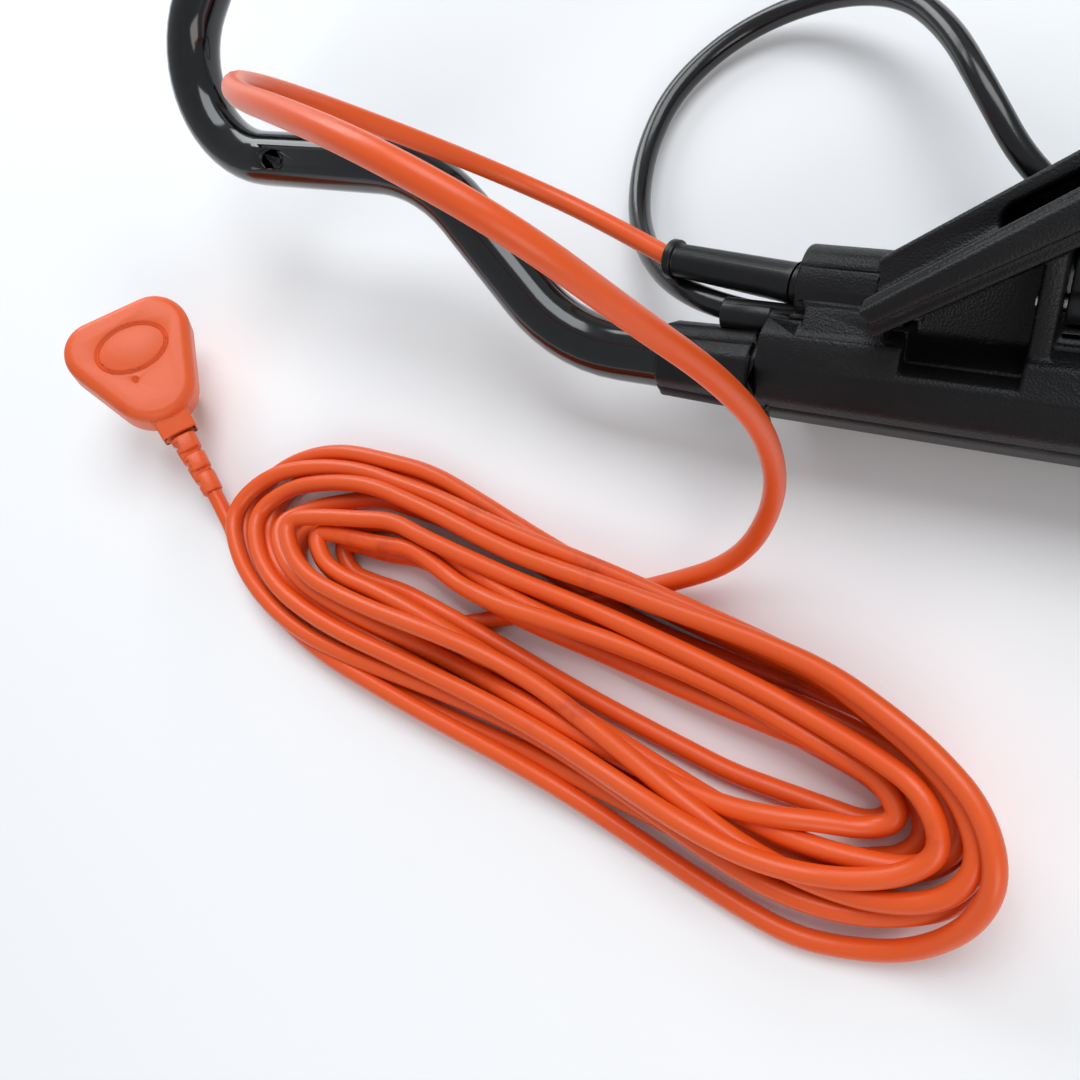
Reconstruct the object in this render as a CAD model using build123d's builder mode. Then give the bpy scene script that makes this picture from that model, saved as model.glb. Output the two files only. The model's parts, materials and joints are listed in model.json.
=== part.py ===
"""Corded push rotary mower with a folding bullhorn handle, resting half folded on its wheels and switch box.

The row's frame: +X to the mower's right, +Y forward from the crossbar to the deck, +Z up, floor at Z 0.
"""

import os
from math import cos, radians, sin, tan

from build123d import *

os.makedirs("parts", exist_ok=True)

# ---- Driving dimensions, millimetres and degrees ----
# Where the crossbar and the blade axis stand
CROSSBAR_Y = -603.8
CROSSBAR_Z = 34.0
BLADE_Y = 367.2

# Upper handle, in its own plane, which rises forward from the crossbar
HANDLE_TILT = 32.0
TUBE_R = 10.0
TUBE_WALL = 1.4
CROSSBAR_HALF = 184.0
HORN_HALF = 243.0
HORN_P = 54.0
HANDLE_HALF_WIDTH = 382.0
JOINT_HALF = 200.0
JOINT_P = 410.0
ELBOW_P = 366.0
HORN_HOLE_X = 308.0
HORN_HOLE_R = 3.5
HORN_BUSH_R = 5.0
HORN_BUSH_HALF = 8.63
HORN_SEAT = 0.7

# Joints of the folding handle
LUG_T = 8.0
LUG_R = 12.0
LUG_RUN = 40.0
TUBE_END_GAP = 25.0
SIDE_GAP = 0.3
BOLT_R = 4.0
PIVOT_Z = 150.0
PIVOT_BACK = 165.0

# Deck
DECK_WIDTH = 350.0
DECK_LENGTH = 440.0
DECK_Y = BLADE_Y + 5.0
DECK_WALL = 4.0
SKIRT_Z = 34.0
DECK_TOP = 125.0
CHUTE_HALF = 108.0
CHUTE_Z = (58.0, 112.0)

# Wheels
FRONT_R = 70.0
REAR_R = 85.0
AXLE_R = 5.0
WHEEL_IN = 207.0
WHEEL_W = 38.0
FRONT_AXLE_Y = BLADE_Y + 180.0
REAR_AXLE_Y = BLADE_Y - 170.0
RUNNING = 0.05

# Blade and motor
BLADE_R = 160.0
BLADE_Z = 46.0
SHAFT_R = 6.0
MOTOR_R = 56.0
BEARING_R = 14.0
COVER_R = 112.0

# Cables
LEAD_D = 6.5
CABLE_D = 8.3

HANDLE = Plane(
    origin=(0, CROSSBAR_Y, CROSSBAR_Z),
    x_dir=(1, 0, 0),
    z_dir=(0, -sin(radians(HANDLE_TILT)), cos(radians(HANDLE_TILT))),
)


def on_handle(x, p, n=0.0):
    """World point of a place given across, along and above the handle's plane."""
    return HANDLE.from_local_coords(Vector(x, p, n))


def across(x):
    """Plane square to X at x, whose own axes are the handle's p and n."""
    return Plane(origin=on_handle(x, 0), x_dir=HANDLE.y_dir, z_dir=(1, 0, 0))


def save(builder, name):
    """Label a finished piece and write its STEP file."""
    builder.part.label = name
    export_step(builder.part, f"parts/{name}.step")


def corner_radii(points):
    """As large an arc at each corner as its two runs allow."""
    radii = []
    for before, here, after in zip(points, points[1:], points[2:]):
        first = Vector(*here) - Vector(*before)
        second = Vector(*after) - Vector(*here)
        turn = first.get_angle(second)
        shorter = min(first.length, second.length)
        radii.append(0.45 * shorter / tan(radians(turn / 2)))
    return radii


def report_cord(name, builder, route, diameter, radii):
    """Print a cord's radii and its volume against section times length."""
    length = sum(edge.length for edge in route.edges())
    section = 3.14159265 * diameter**2 / 4
    print(name, "length", round(length, 1), "radii", [round(r, 1) for r in radii])
    print(name, "volume", round(builder.part.volume), "section x length", round(section * length))


# Places worked out from the driving dimensions
JOINT = on_handle(0, JOINT_P)
PIVOT_Y = BLADE_Y - PIVOT_BACK
LOWER_RUN = Vector(0, PIVOT_Y - JOINT.Y, PIVOT_Z - JOINT.Z)
LOWER_DIR = LOWER_RUN.normalized()
LOWER_LENGTH = LOWER_RUN.length
LOWER_HALF = JOINT_HALF - LUG_T - SIDE_GAP
BOSS_END = WHEEL_IN - 4.0
EAR_OUT = LOWER_HALF - LUG_T / 2 - SIDE_GAP
EAR_T = 6.0
print("joint", JOINT, "lower length", LOWER_LENGTH, "pivot y", PIVOT_Y)

# ======================================================================
# Upper handle
# ======================================================================
leg_end = JOINT_P - TUBE_END_GAP
half_route = [
    (JOINT_HALF, leg_end),
    (JOINT_HALF, ELBOW_P),
    (HANDLE_HALF_WIDTH, HORN_P),
    (HORN_HALF, HORN_P),
    (CROSSBAR_HALF, 0),
]
bar_points = half_route + [(-x, p) for x, p in reversed(half_route)]
ELBOW_R, HORN_R, SWAN_R = 45.0, 36.0, 55.0
half_radii = [ELBOW_R, HORN_R, SWAN_R, SWAN_R]

with BuildPart() as upper_handle:
    with BuildLine(HANDLE) as bar_route:
        FilletPolyline(*bar_points, radius=half_radii + half_radii[::-1])
    with BuildSketch(Plane(origin=bar_route.line @ 0, z_dir=bar_route.line % 0)):
        Circle(TUBE_R)
        Circle(TUBE_R - TUBE_WALL, mode=Mode.SUBTRACT)
    sweep()
    for side in (-1, 1):
        lug_plane = Plane(on_handle(side * JOINT_HALF, JOINT_P), x_dir=HANDLE.y_dir, z_dir=(1, 0, 0))
        with BuildSketch(lug_plane):
            with Locations((-LUG_RUN / 2, 0)):
                SlotCenterToCenter(LUG_RUN, 2 * LUG_R)
            Circle(BOLT_R + RUNNING, mode=Mode.SUBTRACT)
        extrude(amount=LUG_T / 2, both=True)
        # bush through the straight of each horn, its shallow seat and its bolt hole
        with BuildSketch(HANDLE):
            with Locations((side * HORN_HOLE_X, HORN_P)):
                Circle(HORN_BUSH_R)
        extrude(amount=HORN_BUSH_HALF, both=True)
        with BuildSketch(HANDLE.offset(TUBE_R - HORN_SEAT)):
            with Locations((side * HORN_HOLE_X, HORN_P)):
                Ellipse(5.5, 4)
        extrude(amount=3, mode=Mode.SUBTRACT)
        with BuildSketch(HANDLE.offset(-TUBE_R - 2)):
            with Locations((side * HORN_HOLE_X, HORN_P)):
                Circle(HORN_HOLE_R)
        extrude(amount=2 * TUBE_R + 4, mode=Mode.SUBTRACT)
save(upper_handle, "upper_handle")

# ======================================================================
# Switch box, two shells parted above the crossbar
# ======================================================================
SPLIT_N = 8.0
BOX_HALF = 112.0
COLLAR_END = 143.0
BASE_LOW = -33.8
PLATE_LOW = -21.0
PLATE_TOP = -3.0
WING_TOP = 20.0
BOSS_P, BOSS_N, BOSS_R = 27.0, -2.0, 12.5
BOSS_IN, BOSS_OUT = 76.0, 104.0
PIN_P, PIN_N, PIN_R = 30.0, 2.0, 2.5
OPEN_HALF = 32.0
SLOT_R = 5.0
CABLE_P, CABLE_N = 16.5, 1.0
BUTTON_X, BUTTON_P, BUTTON_R = 66.0, 33.0, 5.0
RAIL = [
    (-10, BASE_LOW),
    (-15.5, -24),
    (-15.5, -5),
    (-11, 6),
    (-6, 13),
    (4, 16),
    (14, 14),
    (20, 6),
    (20, BASE_LOW),
]
SCOOP = [(6, 17), (6, 60), (60, 60), (60, PLATE_TOP), (17, PLATE_TOP), (13, 1)]


def wing_outline(forward=0.0, rear=0.0):
    """Outline of the arched band, root to root, drawn in at its forward and rear edges."""
    with BuildLine() as band:
        top = ThreePointArc((-34, 69 - forward), (0, 80 - forward), (34, 69 - forward))
        Line(top @ 0, (-80, 38 - forward))
        Line((-80, 38 - forward), (-76, 18 + rear))
        Line((-76, 18 + rear), (-31, 45 + rear))
        low = ThreePointArc((-31, 45 + rear), (0, 53 + rear), (31, 45 + rear))
        Line(low @ 1, (76, 18 + rear))
        Line((76, 18 + rear), (80, 38 - forward))
        Line((80, 38 - forward), top @ 1)
    return band.edges()


with BuildPart() as switch_box:
    with BuildSketch(across(-BOX_HALF)):
        Polygon(*RAIL, align=None)
    extrude(amount=2 * BOX_HALF)
    # scooped finger pockets each side of the trigger
    for side in (-1, 1):
        with BuildSketch(across(side * 54)):
            Polygon(*SCOOP, align=None)
        extrude(amount=16, both=True, mode=Mode.SUBTRACT)
    # floor plate below the wing
    with BuildSketch(HANDLE.offset(PLATE_LOW)):
        with BuildLine():
            plate_arc = ThreePointArc((-34, 66), (0, 77), (34, 66))
            Line(plate_arc @ 0, (-80, 35))
            Line((-80, 35), (-98, 8))
            Line((-98, 8), (98, 8))
            Line((98, 8), (80, 35))
            Line((80, 35), plate_arc @ 1)
        make_face()
    extrude(amount=PLATE_TOP - PLATE_LOW)
    # wing, its broad face sloping up and back from the forward edge to a ridge
    with BuildSketch(HANDLE.offset(PLATE_TOP)):
        make_face(wing_outline())
    extrude(amount=3 - PLATE_TOP)
    with BuildSketch(HANDLE.offset(3)) as wing_foot:
        make_face(wing_outline())
    with BuildSketch(HANDLE.offset(WING_TOP - 4)) as wing_ridge:
        make_face(wing_outline(10.5))
    loft([wing_foot.sketch, wing_ridge.sketch])
    with BuildSketch(HANDLE.offset(WING_TOP - 4)) as ridge_again:
        make_face(wing_outline(10.5))
    with BuildSketch(HANDLE.offset(WING_TOP)) as wing_crown:
        make_face(wing_outline(13, 4))
    loft([ridge_again.sketch, wing_crown.sketch])
    # roots, cable bosses, collars and trigger pillars
    for side in (-1, 1):
        with BuildSketch(across(side * 88)):
            Polygon((6, PLATE_LOW), (6, 15), (22, 11), (36, -2), (36, PLATE_LOW), align=None)
        extrude(amount=12, both=True)
        with BuildSketch(across(side * (BOSS_IN + BOSS_OUT) / 2)):
            with Locations((BOSS_P, BOSS_N)):
                Circle(BOSS_R)
        extrude(amount=(BOSS_OUT - BOSS_IN) / 2, both=True)
        with BuildSketch(across(side * BOX_HALF)) as collar_root:
            RegularPolygon(13.6, 8, rotation=22.5)
        with BuildSketch(across(side * COLLAR_END)) as collar_mouth:
            RegularPolygon(12.8, 8, rotation=22.5)
        loft([collar_root.sketch, collar_mouth.sketch])
        with BuildSketch(across(side * (OPEN_HALF + 3))):
            Polygon((10, PLATE_LOW), (10, 12), (30, 12), (48, 12), (48, PLATE_LOW), align=None)
        extrude(amount=3, both=True)
    # finger opening, hand slot through the wing and the crossbar's bore
    with BuildSketch(HANDLE.offset(BASE_LOW - 5)):
        with BuildLine():
            mouth = ThreePointArc((-OPEN_HALF, 41), (0, 49), (OPEN_HALF, 41))
            Polyline(mouth @ 0, (-OPEN_HALF, 21), (OPEN_HALF, 21), mouth @ 1)
        make_face()
    extrude(amount=60, mode=Mode.SUBTRACT)
    with BuildSketch(HANDLE.offset(BASE_LOW - 5)):
        with BuildLine() as slot_line:
            crown = ThreePointArc((-28, 61), (0, 67), (28, 61))
            Line((-45, 50.5), crown @ 0)
            Line(crown @ 1, (45, 50.5))
        trace(slot_line.edges(), line_width=2 * SLOT_R)
        with Locations((-45, 50.5), (45, 50.5)):
            Circle(SLOT_R)
    extrude(amount=60, mode=Mode.SUBTRACT)
    with BuildSketch(across(-COLLAR_END - 5)):
        Circle(TUBE_R)
    extrude(amount=2 * COLLAR_END + 10, mode=Mode.SUBTRACT)
    with BuildSketch(across(-OPEN_HALF - 8)):
        with Locations((PIN_P, PIN_N)):
            Circle(PIN_R)
    extrude(amount=2 * OPEN_HALF + 16, mode=Mode.SUBTRACT)
    # wiring cavities in both roots
    for side in (-1, 1):
        with BuildSketch(across(side * 70)):
            with Locations((25.5, -12)):
                Rectangle(14, 14)
        extrude(amount=29, both=True, mode=Mode.SUBTRACT)
    # lock-off button's guide, on the right root of the wing
    with BuildSketch(HANDLE.offset(-14)):
        with Locations((BUTTON_X, BUTTON_P)):
            Circle(BUTTON_R + 0.3)
    extrude(amount=60, mode=Mode.SUBTRACT)
switch_core = switch_box.part
print("switch box solids", len(switch_core.solids()), "valid", switch_core.is_valid)

cut_plane = HANDLE.offset(SPLIT_N)
SCREW_SPOTS = [(-93, 15), (93, 15)]
SCREW_SEAT = -8.0
SCREW_RISE = 3.3
with BuildPart() as switch_box_base:
    add(switch_core)
    split(bisect_by=cut_plane, keep=Keep.BOTTOM)
    with BuildSketch(cut_plane):
        with Locations(*SCREW_SPOTS):
            Circle(1.5)
    extrude(amount=SCREW_SEAT - SPLIT_N - 1, mode=Mode.SUBTRACT)
    with BuildSketch(HANDLE.offset(SCREW_SEAT)):
        with Locations(*SCREW_SPOTS):
            Circle(3.2)
    extrude(amount=BASE_LOW - SCREW_SEAT - 5, mode=Mode.SUBTRACT)
save(switch_box_base, "switch_box_base")

with BuildPart() as switch_box_cover:
    add(switch_core)
    split(bisect_by=cut_plane, keep=Keep.TOP)
    with BuildSketch(cut_plane):
        with Locations(*SCREW_SPOTS):
            Circle(1.5)
    extrude(amount=SCREW_RISE + 0.2, mode=Mode.SUBTRACT)
save(switch_box_cover, "switch_box_cover")

# Their heads sit deep in the base, so they are driven from below
with BuildPart() as switch_box_screws:
    with BuildSketch(HANDLE.offset(SCREW_SEAT - 1)):
        with Locations(*SCREW_SPOTS):
            Circle(1.5)
    extrude(amount=SPLIT_N - SCREW_SEAT + SCREW_RISE + 1)
    with BuildSketch(HANDLE.offset(SCREW_SEAT)):
        with Locations(*SCREW_SPOTS):
            Circle(3)
    extrude(amount=-1.8)
    with BuildSketch(HANDLE.offset(SCREW_SEAT - 1.8)):
        with Locations(*SCREW_SPOTS):
            RegularPolygon(1.2, 4)
    extrude(amount=1, mode=Mode.SUBTRACT)
save(switch_box_screws, "switch_box_screws")

# Trigger on its pin, its return spring, the microswitch, and the lock-off button
with BuildPart() as trigger:
    with BuildSketch(across(-OPEN_HALF + 1)):
        with Locations((PIN_P, PIN_N)):
            Circle(5.5)
        with BuildLine():
            Polyline((29, 6), (42, 7), (45, 3), (45, -1), (40, 1), (32, -3), (29, 6))
        make_face()
        with Locations((PIN_P, PIN_N)):
            Circle(PIN_R + RUNNING, mode=Mode.SUBTRACT)
    extrude(amount=2 * OPEN_HALF - 2)
    long_edges = edges().filter_by(Axis.X)
    fillet([e for e in long_edges if HANDLE.to_local_coords(e.center()).Y > 39], radius=0.9)
save(trigger, "trigger")

with BuildPart() as trigger_pin:
    with BuildSketch(across(-OPEN_HALF - 7)):
        with Locations((PIN_P, PIN_N)):
            Circle(PIN_R)
    extrude(amount=2 * OPEN_HALF + 14)
save(trigger_pin, "trigger_pin")

with BuildPart() as microswitch:
    with BuildSketch(across(43)):
        with Locations((26, -12)):
            Rectangle(9, 11)
    extrude(amount=20)
    with BuildSketch(across(41.5)):
        with Locations((26, -10)):
            Circle(1.5)
    extrude(amount=1.5)
    with BuildSketch(across(62)):
        with Locations((24, -14), (28, -14)):
            Rectangle(0.8, 4)
    extrude(amount=5)
save(microswitch, "microswitch")

BUTTON_TOP = 17.0
BUTTON_TRAVEL = 3.0
with BuildPart() as lock_button:
    with BuildSketch(HANDLE.offset(-2)):
        with Locations((BUTTON_X, BUTTON_P)):
            Circle(BUTTON_R)
    extrude(amount=BUTTON_TOP + 2)
    chamfer(edges().sort_by(Axis(HANDLE.origin, HANDLE.z_dir))[-1], length=1)
save(lock_button, "lock_off_button")

with BuildPart() as lock_button_spring:
    with BuildSketch(HANDLE.offset(-13.5)):
        with Locations((BUTTON_X, BUTTON_P)):
            Circle(4)
            Circle(3, mode=Mode.SUBTRACT)
    extrude(amount=11.5)
save(lock_button_spring, "lock_button_spring")

# Rubber sleeves round the two cables where they leave the switch box
LEAD_EXIT = on_handle(-152, 30.5, -9)
LEAD_ROOT = on_handle(-BOSS_OUT, BOSS_P, BOSS_N)
LEAD_AXIS = (LEAD_EXIT - LEAD_ROOT).normalized()
lead_plane = Plane(origin=LEAD_ROOT, z_dir=LEAD_AXIS)
SLEEVE_RUN = (LEAD_EXIT - LEAD_ROOT).length
with BuildPart() as mains_sleeve:
    with BuildSketch(lead_plane) as thick_end:
        Circle(6.4)
    with BuildSketch(lead_plane.offset(SLEEVE_RUN - 2.5)) as slim_end:
        Circle(5.3)
    loft([thick_end.sketch, slim_end.sketch])
    with BuildSketch(lead_plane.offset(SLEEVE_RUN - 3)):
        Circle(6.4)
    extrude(amount=3)
    with BuildSketch(lead_plane.offset(-1)):
        Circle(LEAD_D / 2)
    extrude(amount=SLEEVE_RUN + 2, mode=Mode.SUBTRACT)
    split(bisect_by=across(-BOSS_OUT), keep=Keep.BOTTOM)
save(mains_sleeve, "mains_sleeve")

with BuildPart() as cable_socket:
    with BuildSketch(across(-128)):
        with Locations((CABLE_P, CABLE_N)):
            Circle(5.0)
            Circle(CABLE_D / 2, mode=Mode.SUBTRACT)
    extrude(amount=24)
    add(switch_core, mode=Mode.SUBTRACT)
save(cable_socket, "motor_cable_sleeve")

# ======================================================================
# Lower handle
# ======================================================================
def lower_frame(x, along=0.0):
    """Plane square to X on a lower tube's line, its x axis running towards the deck."""
    origin = Vector(x, JOINT.Y, JOINT.Z) + LOWER_DIR * along
    return Plane(origin=origin, x_dir=LOWER_DIR, z_dir=(1, 0, 0))


for side, name in ((-1, "lower_tube_left"), (1, "lower_tube_right")):
    x = side * LOWER_HALF
    with BuildPart() as lower_tube:
        with BuildSketch(Plane(lower_frame(x, TUBE_END_GAP).origin, z_dir=LOWER_DIR)):
            Circle(TUBE_R)
            Circle(TUBE_R - TUBE_WALL, mode=Mode.SUBTRACT)
        extrude(amount=LOWER_LENGTH - 2 * TUBE_END_GAP)
        for along, middle in ((0, LUG_RUN / 2), (LOWER_LENGTH, -LUG_RUN / 2)):
            with BuildSketch(lower_frame(x, along)):
                with Locations((middle, 0)):
                    SlotCenterToCenter(LUG_RUN, 2 * LUG_R)
                Circle(BOLT_R + (RUNNING if along else 0), mode=Mode.SUBTRACT)
            extrude(amount=LUG_T / 2, both=True)
    save(lower_tube, name)

BOLT_END = 216.0
with BuildPart() as joint_bolts:
    for side in (-1, 1):
        head = Plane((side * (LOWER_HALF - LUG_T / 2), JOINT.Y, JOINT.Z), z_dir=(side, 0, 0))
        with BuildSketch(head):
            Circle(BOLT_R)
        extrude(amount=BOLT_END - LOWER_HALF + LUG_T / 2)
        with BuildSketch(head):
            Circle(8)
        extrude(amount=-4.5, taper=12)
save(joint_bolts, "joint_bolts")

KNOB_IN = JOINT_HALF + LUG_T / 2 + SIDE_GAP
for side, name in ((-1, "clamp_knob_left"), (1, "clamp_knob_right")):
    face = Plane((side * KNOB_IN, JOINT.Y, JOINT.Z), z_dir=(side, 0, 0))
    with BuildPart() as clamp_knob:
        with BuildSketch(face):
            Circle(10)
        extrude(amount=8)
        with BuildSketch(face.offset(6)):
            Circle(21)
            with PolarLocations(24, 6):
                Circle(7, mode=Mode.SUBTRACT)
        extrude(amount=13)
        fillet(edges().group_by(Axis.X)[-1 if side > 0 else 0], radius=2)
        with BuildSketch(face):
            Circle(BOLT_R + RUNNING)
        extrude(amount=BOLT_END - KNOB_IN + 2, mode=Mode.SUBTRACT)
    save(clamp_knob, name)

# ======================================================================
# Deck
# ======================================================================
WHEEL_SPOTS = [
    ("front_left", -1, FRONT_AXLE_Y, FRONT_R),
    ("front_right", 1, FRONT_AXLE_Y, FRONT_R),
    ("rear_left", -1, REAR_AXLE_Y, REAR_R),
    ("rear_right", 1, REAR_AXLE_Y, REAR_R),
]
FLAP_Y = DECK_Y - DECK_LENGTH / 2 - 8.0
FLAP_Z = 128.0
with BuildPart() as deck:
    with BuildSketch(Plane.XY.offset(SKIRT_Z)):
        with Locations((0, DECK_Y)):
            RectangleRounded(DECK_WIDTH, DECK_LENGTH, 44)
    extrude(amount=DECK_TOP - SKIRT_Z)
    fillet(faces().sort_by(Axis.Z)[-1].edges(), radius=20)
    # raised saddle under the motor
    with BuildSketch(Plane.XY.offset(DECK_TOP - 6)):
        with Locations((0, BLADE_Y)):
            Circle(COVER_R + 12)
    extrude(amount=6)
    offset(amount=-DECK_WALL, openings=faces().sort_by(Axis.Z)[0])
    # bosses for the wheel axles
    for corner, side, y, radius in WHEEL_SPOTS:
        with BuildSketch(Plane((side * (DECK_WIDTH / 2 - DECK_WALL), y, radius), z_dir=(side, 0, 0))):
            Circle(24)
        extrude(amount=BOSS_END - DECK_WIDTH / 2 + DECK_WALL, taper=6)
        with BuildSketch(Plane((side * 150, y, radius), z_dir=(side, 0, 0))):
            Circle(AXLE_R)
        extrude(amount=70, mode=Mode.SUBTRACT)
    # discharge mouth in the rear wall and the motor's hole
    with BuildSketch(Plane.XZ.offset(-(DECK_Y - DECK_LENGTH / 2 + 40))):
        with Locations((0, sum(CHUTE_Z) / 2)):
            RectangleRounded(2 * CHUTE_HALF, CHUTE_Z[1] - CHUTE_Z[0], 8)
    extrude(amount=60, mode=Mode.SUBTRACT)
    with BuildSketch(Plane.XY.offset(DECK_TOP - 20)):
        with Locations((0, BLADE_Y)):
            Circle(30)
    extrude(amount=40, mode=Mode.SUBTRACT)
    # lugs for the rear flap's pin
    for side in (-1, 1):
        with BuildSketch(Plane.YZ.offset(side * 121 - 3)):
            with BuildLine():
                Polyline(
                    (FLAP_Y + 40, DECK_TOP),
                    (FLAP_Y + 40, DECK_TOP + 5),
                    (FLAP_Y + 4, FLAP_Z + 6),
                    (FLAP_Y - 5, FLAP_Z + 6),
                    (FLAP_Y - 6, FLAP_Z - 6),
                    (FLAP_Y + 9, FLAP_Z - 30),
                    (FLAP_Y + 40, DECK_TOP),
                )
            make_face()
            with Locations((FLAP_Y, FLAP_Z)):
                Circle(2.5, mode=Mode.SUBTRACT)
        extrude(amount=6)
save(deck, "deck")

with BuildPart() as flap_pin:
    with BuildSketch(Plane.YZ.offset(-126)):
        with Locations((FLAP_Y, FLAP_Z)):
            Circle(2.5)
    extrude(amount=252)
save(flap_pin, "flap_pin")

with BuildPart() as flap_spring:
    with BuildSketch(Plane.YZ.offset(96)):
        with Locations((FLAP_Y, FLAP_Z)):
            Circle(4.2)
            Circle(3.0, mode=Mode.SUBTRACT)
    extrude(amount=16)
save(flap_spring, "flap_spring")

with BuildPart() as rear_flap:
    with BuildSketch(Plane.YZ.offset(-114)):
        with BuildLine():
            Polyline(
                (FLAP_Y - 5, FLAP_Z),
                (FLAP_Y - 4, FLAP_Z + 4),
                (FLAP_Y + 4, FLAP_Z + 4),
                (FLAP_Y + 4.5, FLAP_Z - 12),
                (FLAP_Y + 5.5, FLAP_Z - 72),
                (FLAP_Y + 1.5, FLAP_Z - 74),
                (FLAP_Y - 0.5, FLAP_Z - 12),
                (FLAP_Y - 5, FLAP_Z),
            )
        make_face()
        with Locations((FLAP_Y, FLAP_Z)):
            Circle(2.5 + RUNNING, mode=Mode.SUBTRACT)
    extrude(amount=228)
    with BuildSketch(Plane.YZ.offset(94)):
        with Locations((FLAP_Y, FLAP_Z)):
            Circle(9)
    extrude(amount=20, mode=Mode.SUBTRACT)
    for x in (-84, -42, 0, 42, 84):
        with BuildSketch(Plane.YZ.offset(x - 1.5)):
            with BuildLine():
                Polyline(
                    (FLAP_Y, FLAP_Z - 14),
                    (FLAP_Y - 4, FLAP_Z - 20),
                    (FLAP_Y - 1, FLAP_Z - 72),
                    (FLAP_Y + 3, FLAP_Z - 72),
                    (FLAP_Y, FLAP_Z - 14),
                )
            make_face()
        extrude(amount=3)
save(rear_flap, "rear_flap")

# Handle brackets, each one steel plate with a foot
BRACKET_IN = EAR_OUT - EAR_T
FOOT_IN = 130.0
FOOT_SCREW_X = 142.0
with BuildPart() as handle_brackets:
    for side in (-1, 1):
        ear = Plane((side * EAR_OUT, 0, 0), x_dir=(0, side, 0), z_dir=(side, 0, 0))
        with BuildSketch(ear):
            with BuildLine():
                Polyline(
                    (side * (PIVOT_Y - 34), DECK_TOP),
                    (side * (PIVOT_Y + 34), DECK_TOP),
                    (side * (PIVOT_Y + 12), PIVOT_Z + 4),
                    (side * (PIVOT_Y - 12), PIVOT_Z + 4),
                    (side * (PIVOT_Y - 34), DECK_TOP),
                )
            make_face()
            with Locations((side * PIVOT_Y, PIVOT_Z)):
                Circle(13)
                Circle(BOLT_R, mode=Mode.SUBTRACT)
        extrude(amount=-EAR_T)
        with BuildSketch(Plane.XY.offset(DECK_TOP)):
            with Locations((side * (EAR_OUT + FOOT_IN) / 2, PIVOT_Y)):
                Rectangle(EAR_OUT - FOOT_IN, 68)
            with Locations((side * FOOT_SCREW_X, PIVOT_Y - 22), (side * FOOT_SCREW_X, PIVOT_Y + 22)):
                Circle(2.5, mode=Mode.SUBTRACT)
        extrude(amount=4)
save(handle_brackets, "handle_brackets")

with BuildPart() as pivot_bolts:
    for side in (-1, 1):
        start = Plane((side * (BRACKET_IN - 6), PIVOT_Y, PIVOT_Z), z_dir=(side, 0, 0))
        with BuildSketch(start):
            RegularPolygon(7, 6)
        extrude(amount=6)
        with BuildSketch(start):
            Circle(BOLT_R)
        extrude(amount=LOWER_HALF + LUG_T / 2 + SIDE_GAP - BRACKET_IN + 6)
        with BuildSketch(Plane((side * (LOWER_HALF + LUG_T / 2 + SIDE_GAP), PIVOT_Y, PIVOT_Z), z_dir=(side, 0, 0))):
            Circle(7.5)
        extrude(amount=4, taper=15)
save(pivot_bolts, "pivot_bolts")

# ======================================================================
# Wheels on stub axles
# ======================================================================
AXLE_IN = DECK_WIDTH / 2 - DECK_WALL
WHEEL_OUT = WHEEL_IN + WHEEL_W
with BuildPart() as wheel_axles:
    for corner, side, y, radius in WHEEL_SPOTS:
        with BuildSketch(Plane((side * AXLE_IN, y, radius), z_dir=(side, 0, 0))):
            Circle(AXLE_R)
        extrude(amount=WHEEL_OUT - 3 - AXLE_IN)
        with BuildSketch(Plane((side * AXLE_IN, y, radius), z_dir=(side, 0, 0))):
            RegularPolygon(9, 6)
        extrude(amount=-5)
save(wheel_axles, "wheel_axles")

with BuildPart() as axle_retainers:
    for corner, side, y, radius in WHEEL_SPOTS:
        with BuildSketch(Plane((side * (WHEEL_OUT - 6), y, radius), z_dir=(side, 0, 0))):
            Circle(8.5)
            Circle(AXLE_R, mode=Mode.SUBTRACT)
        extrude(amount=1.5)
save(axle_retainers, "axle_retainers")

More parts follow.
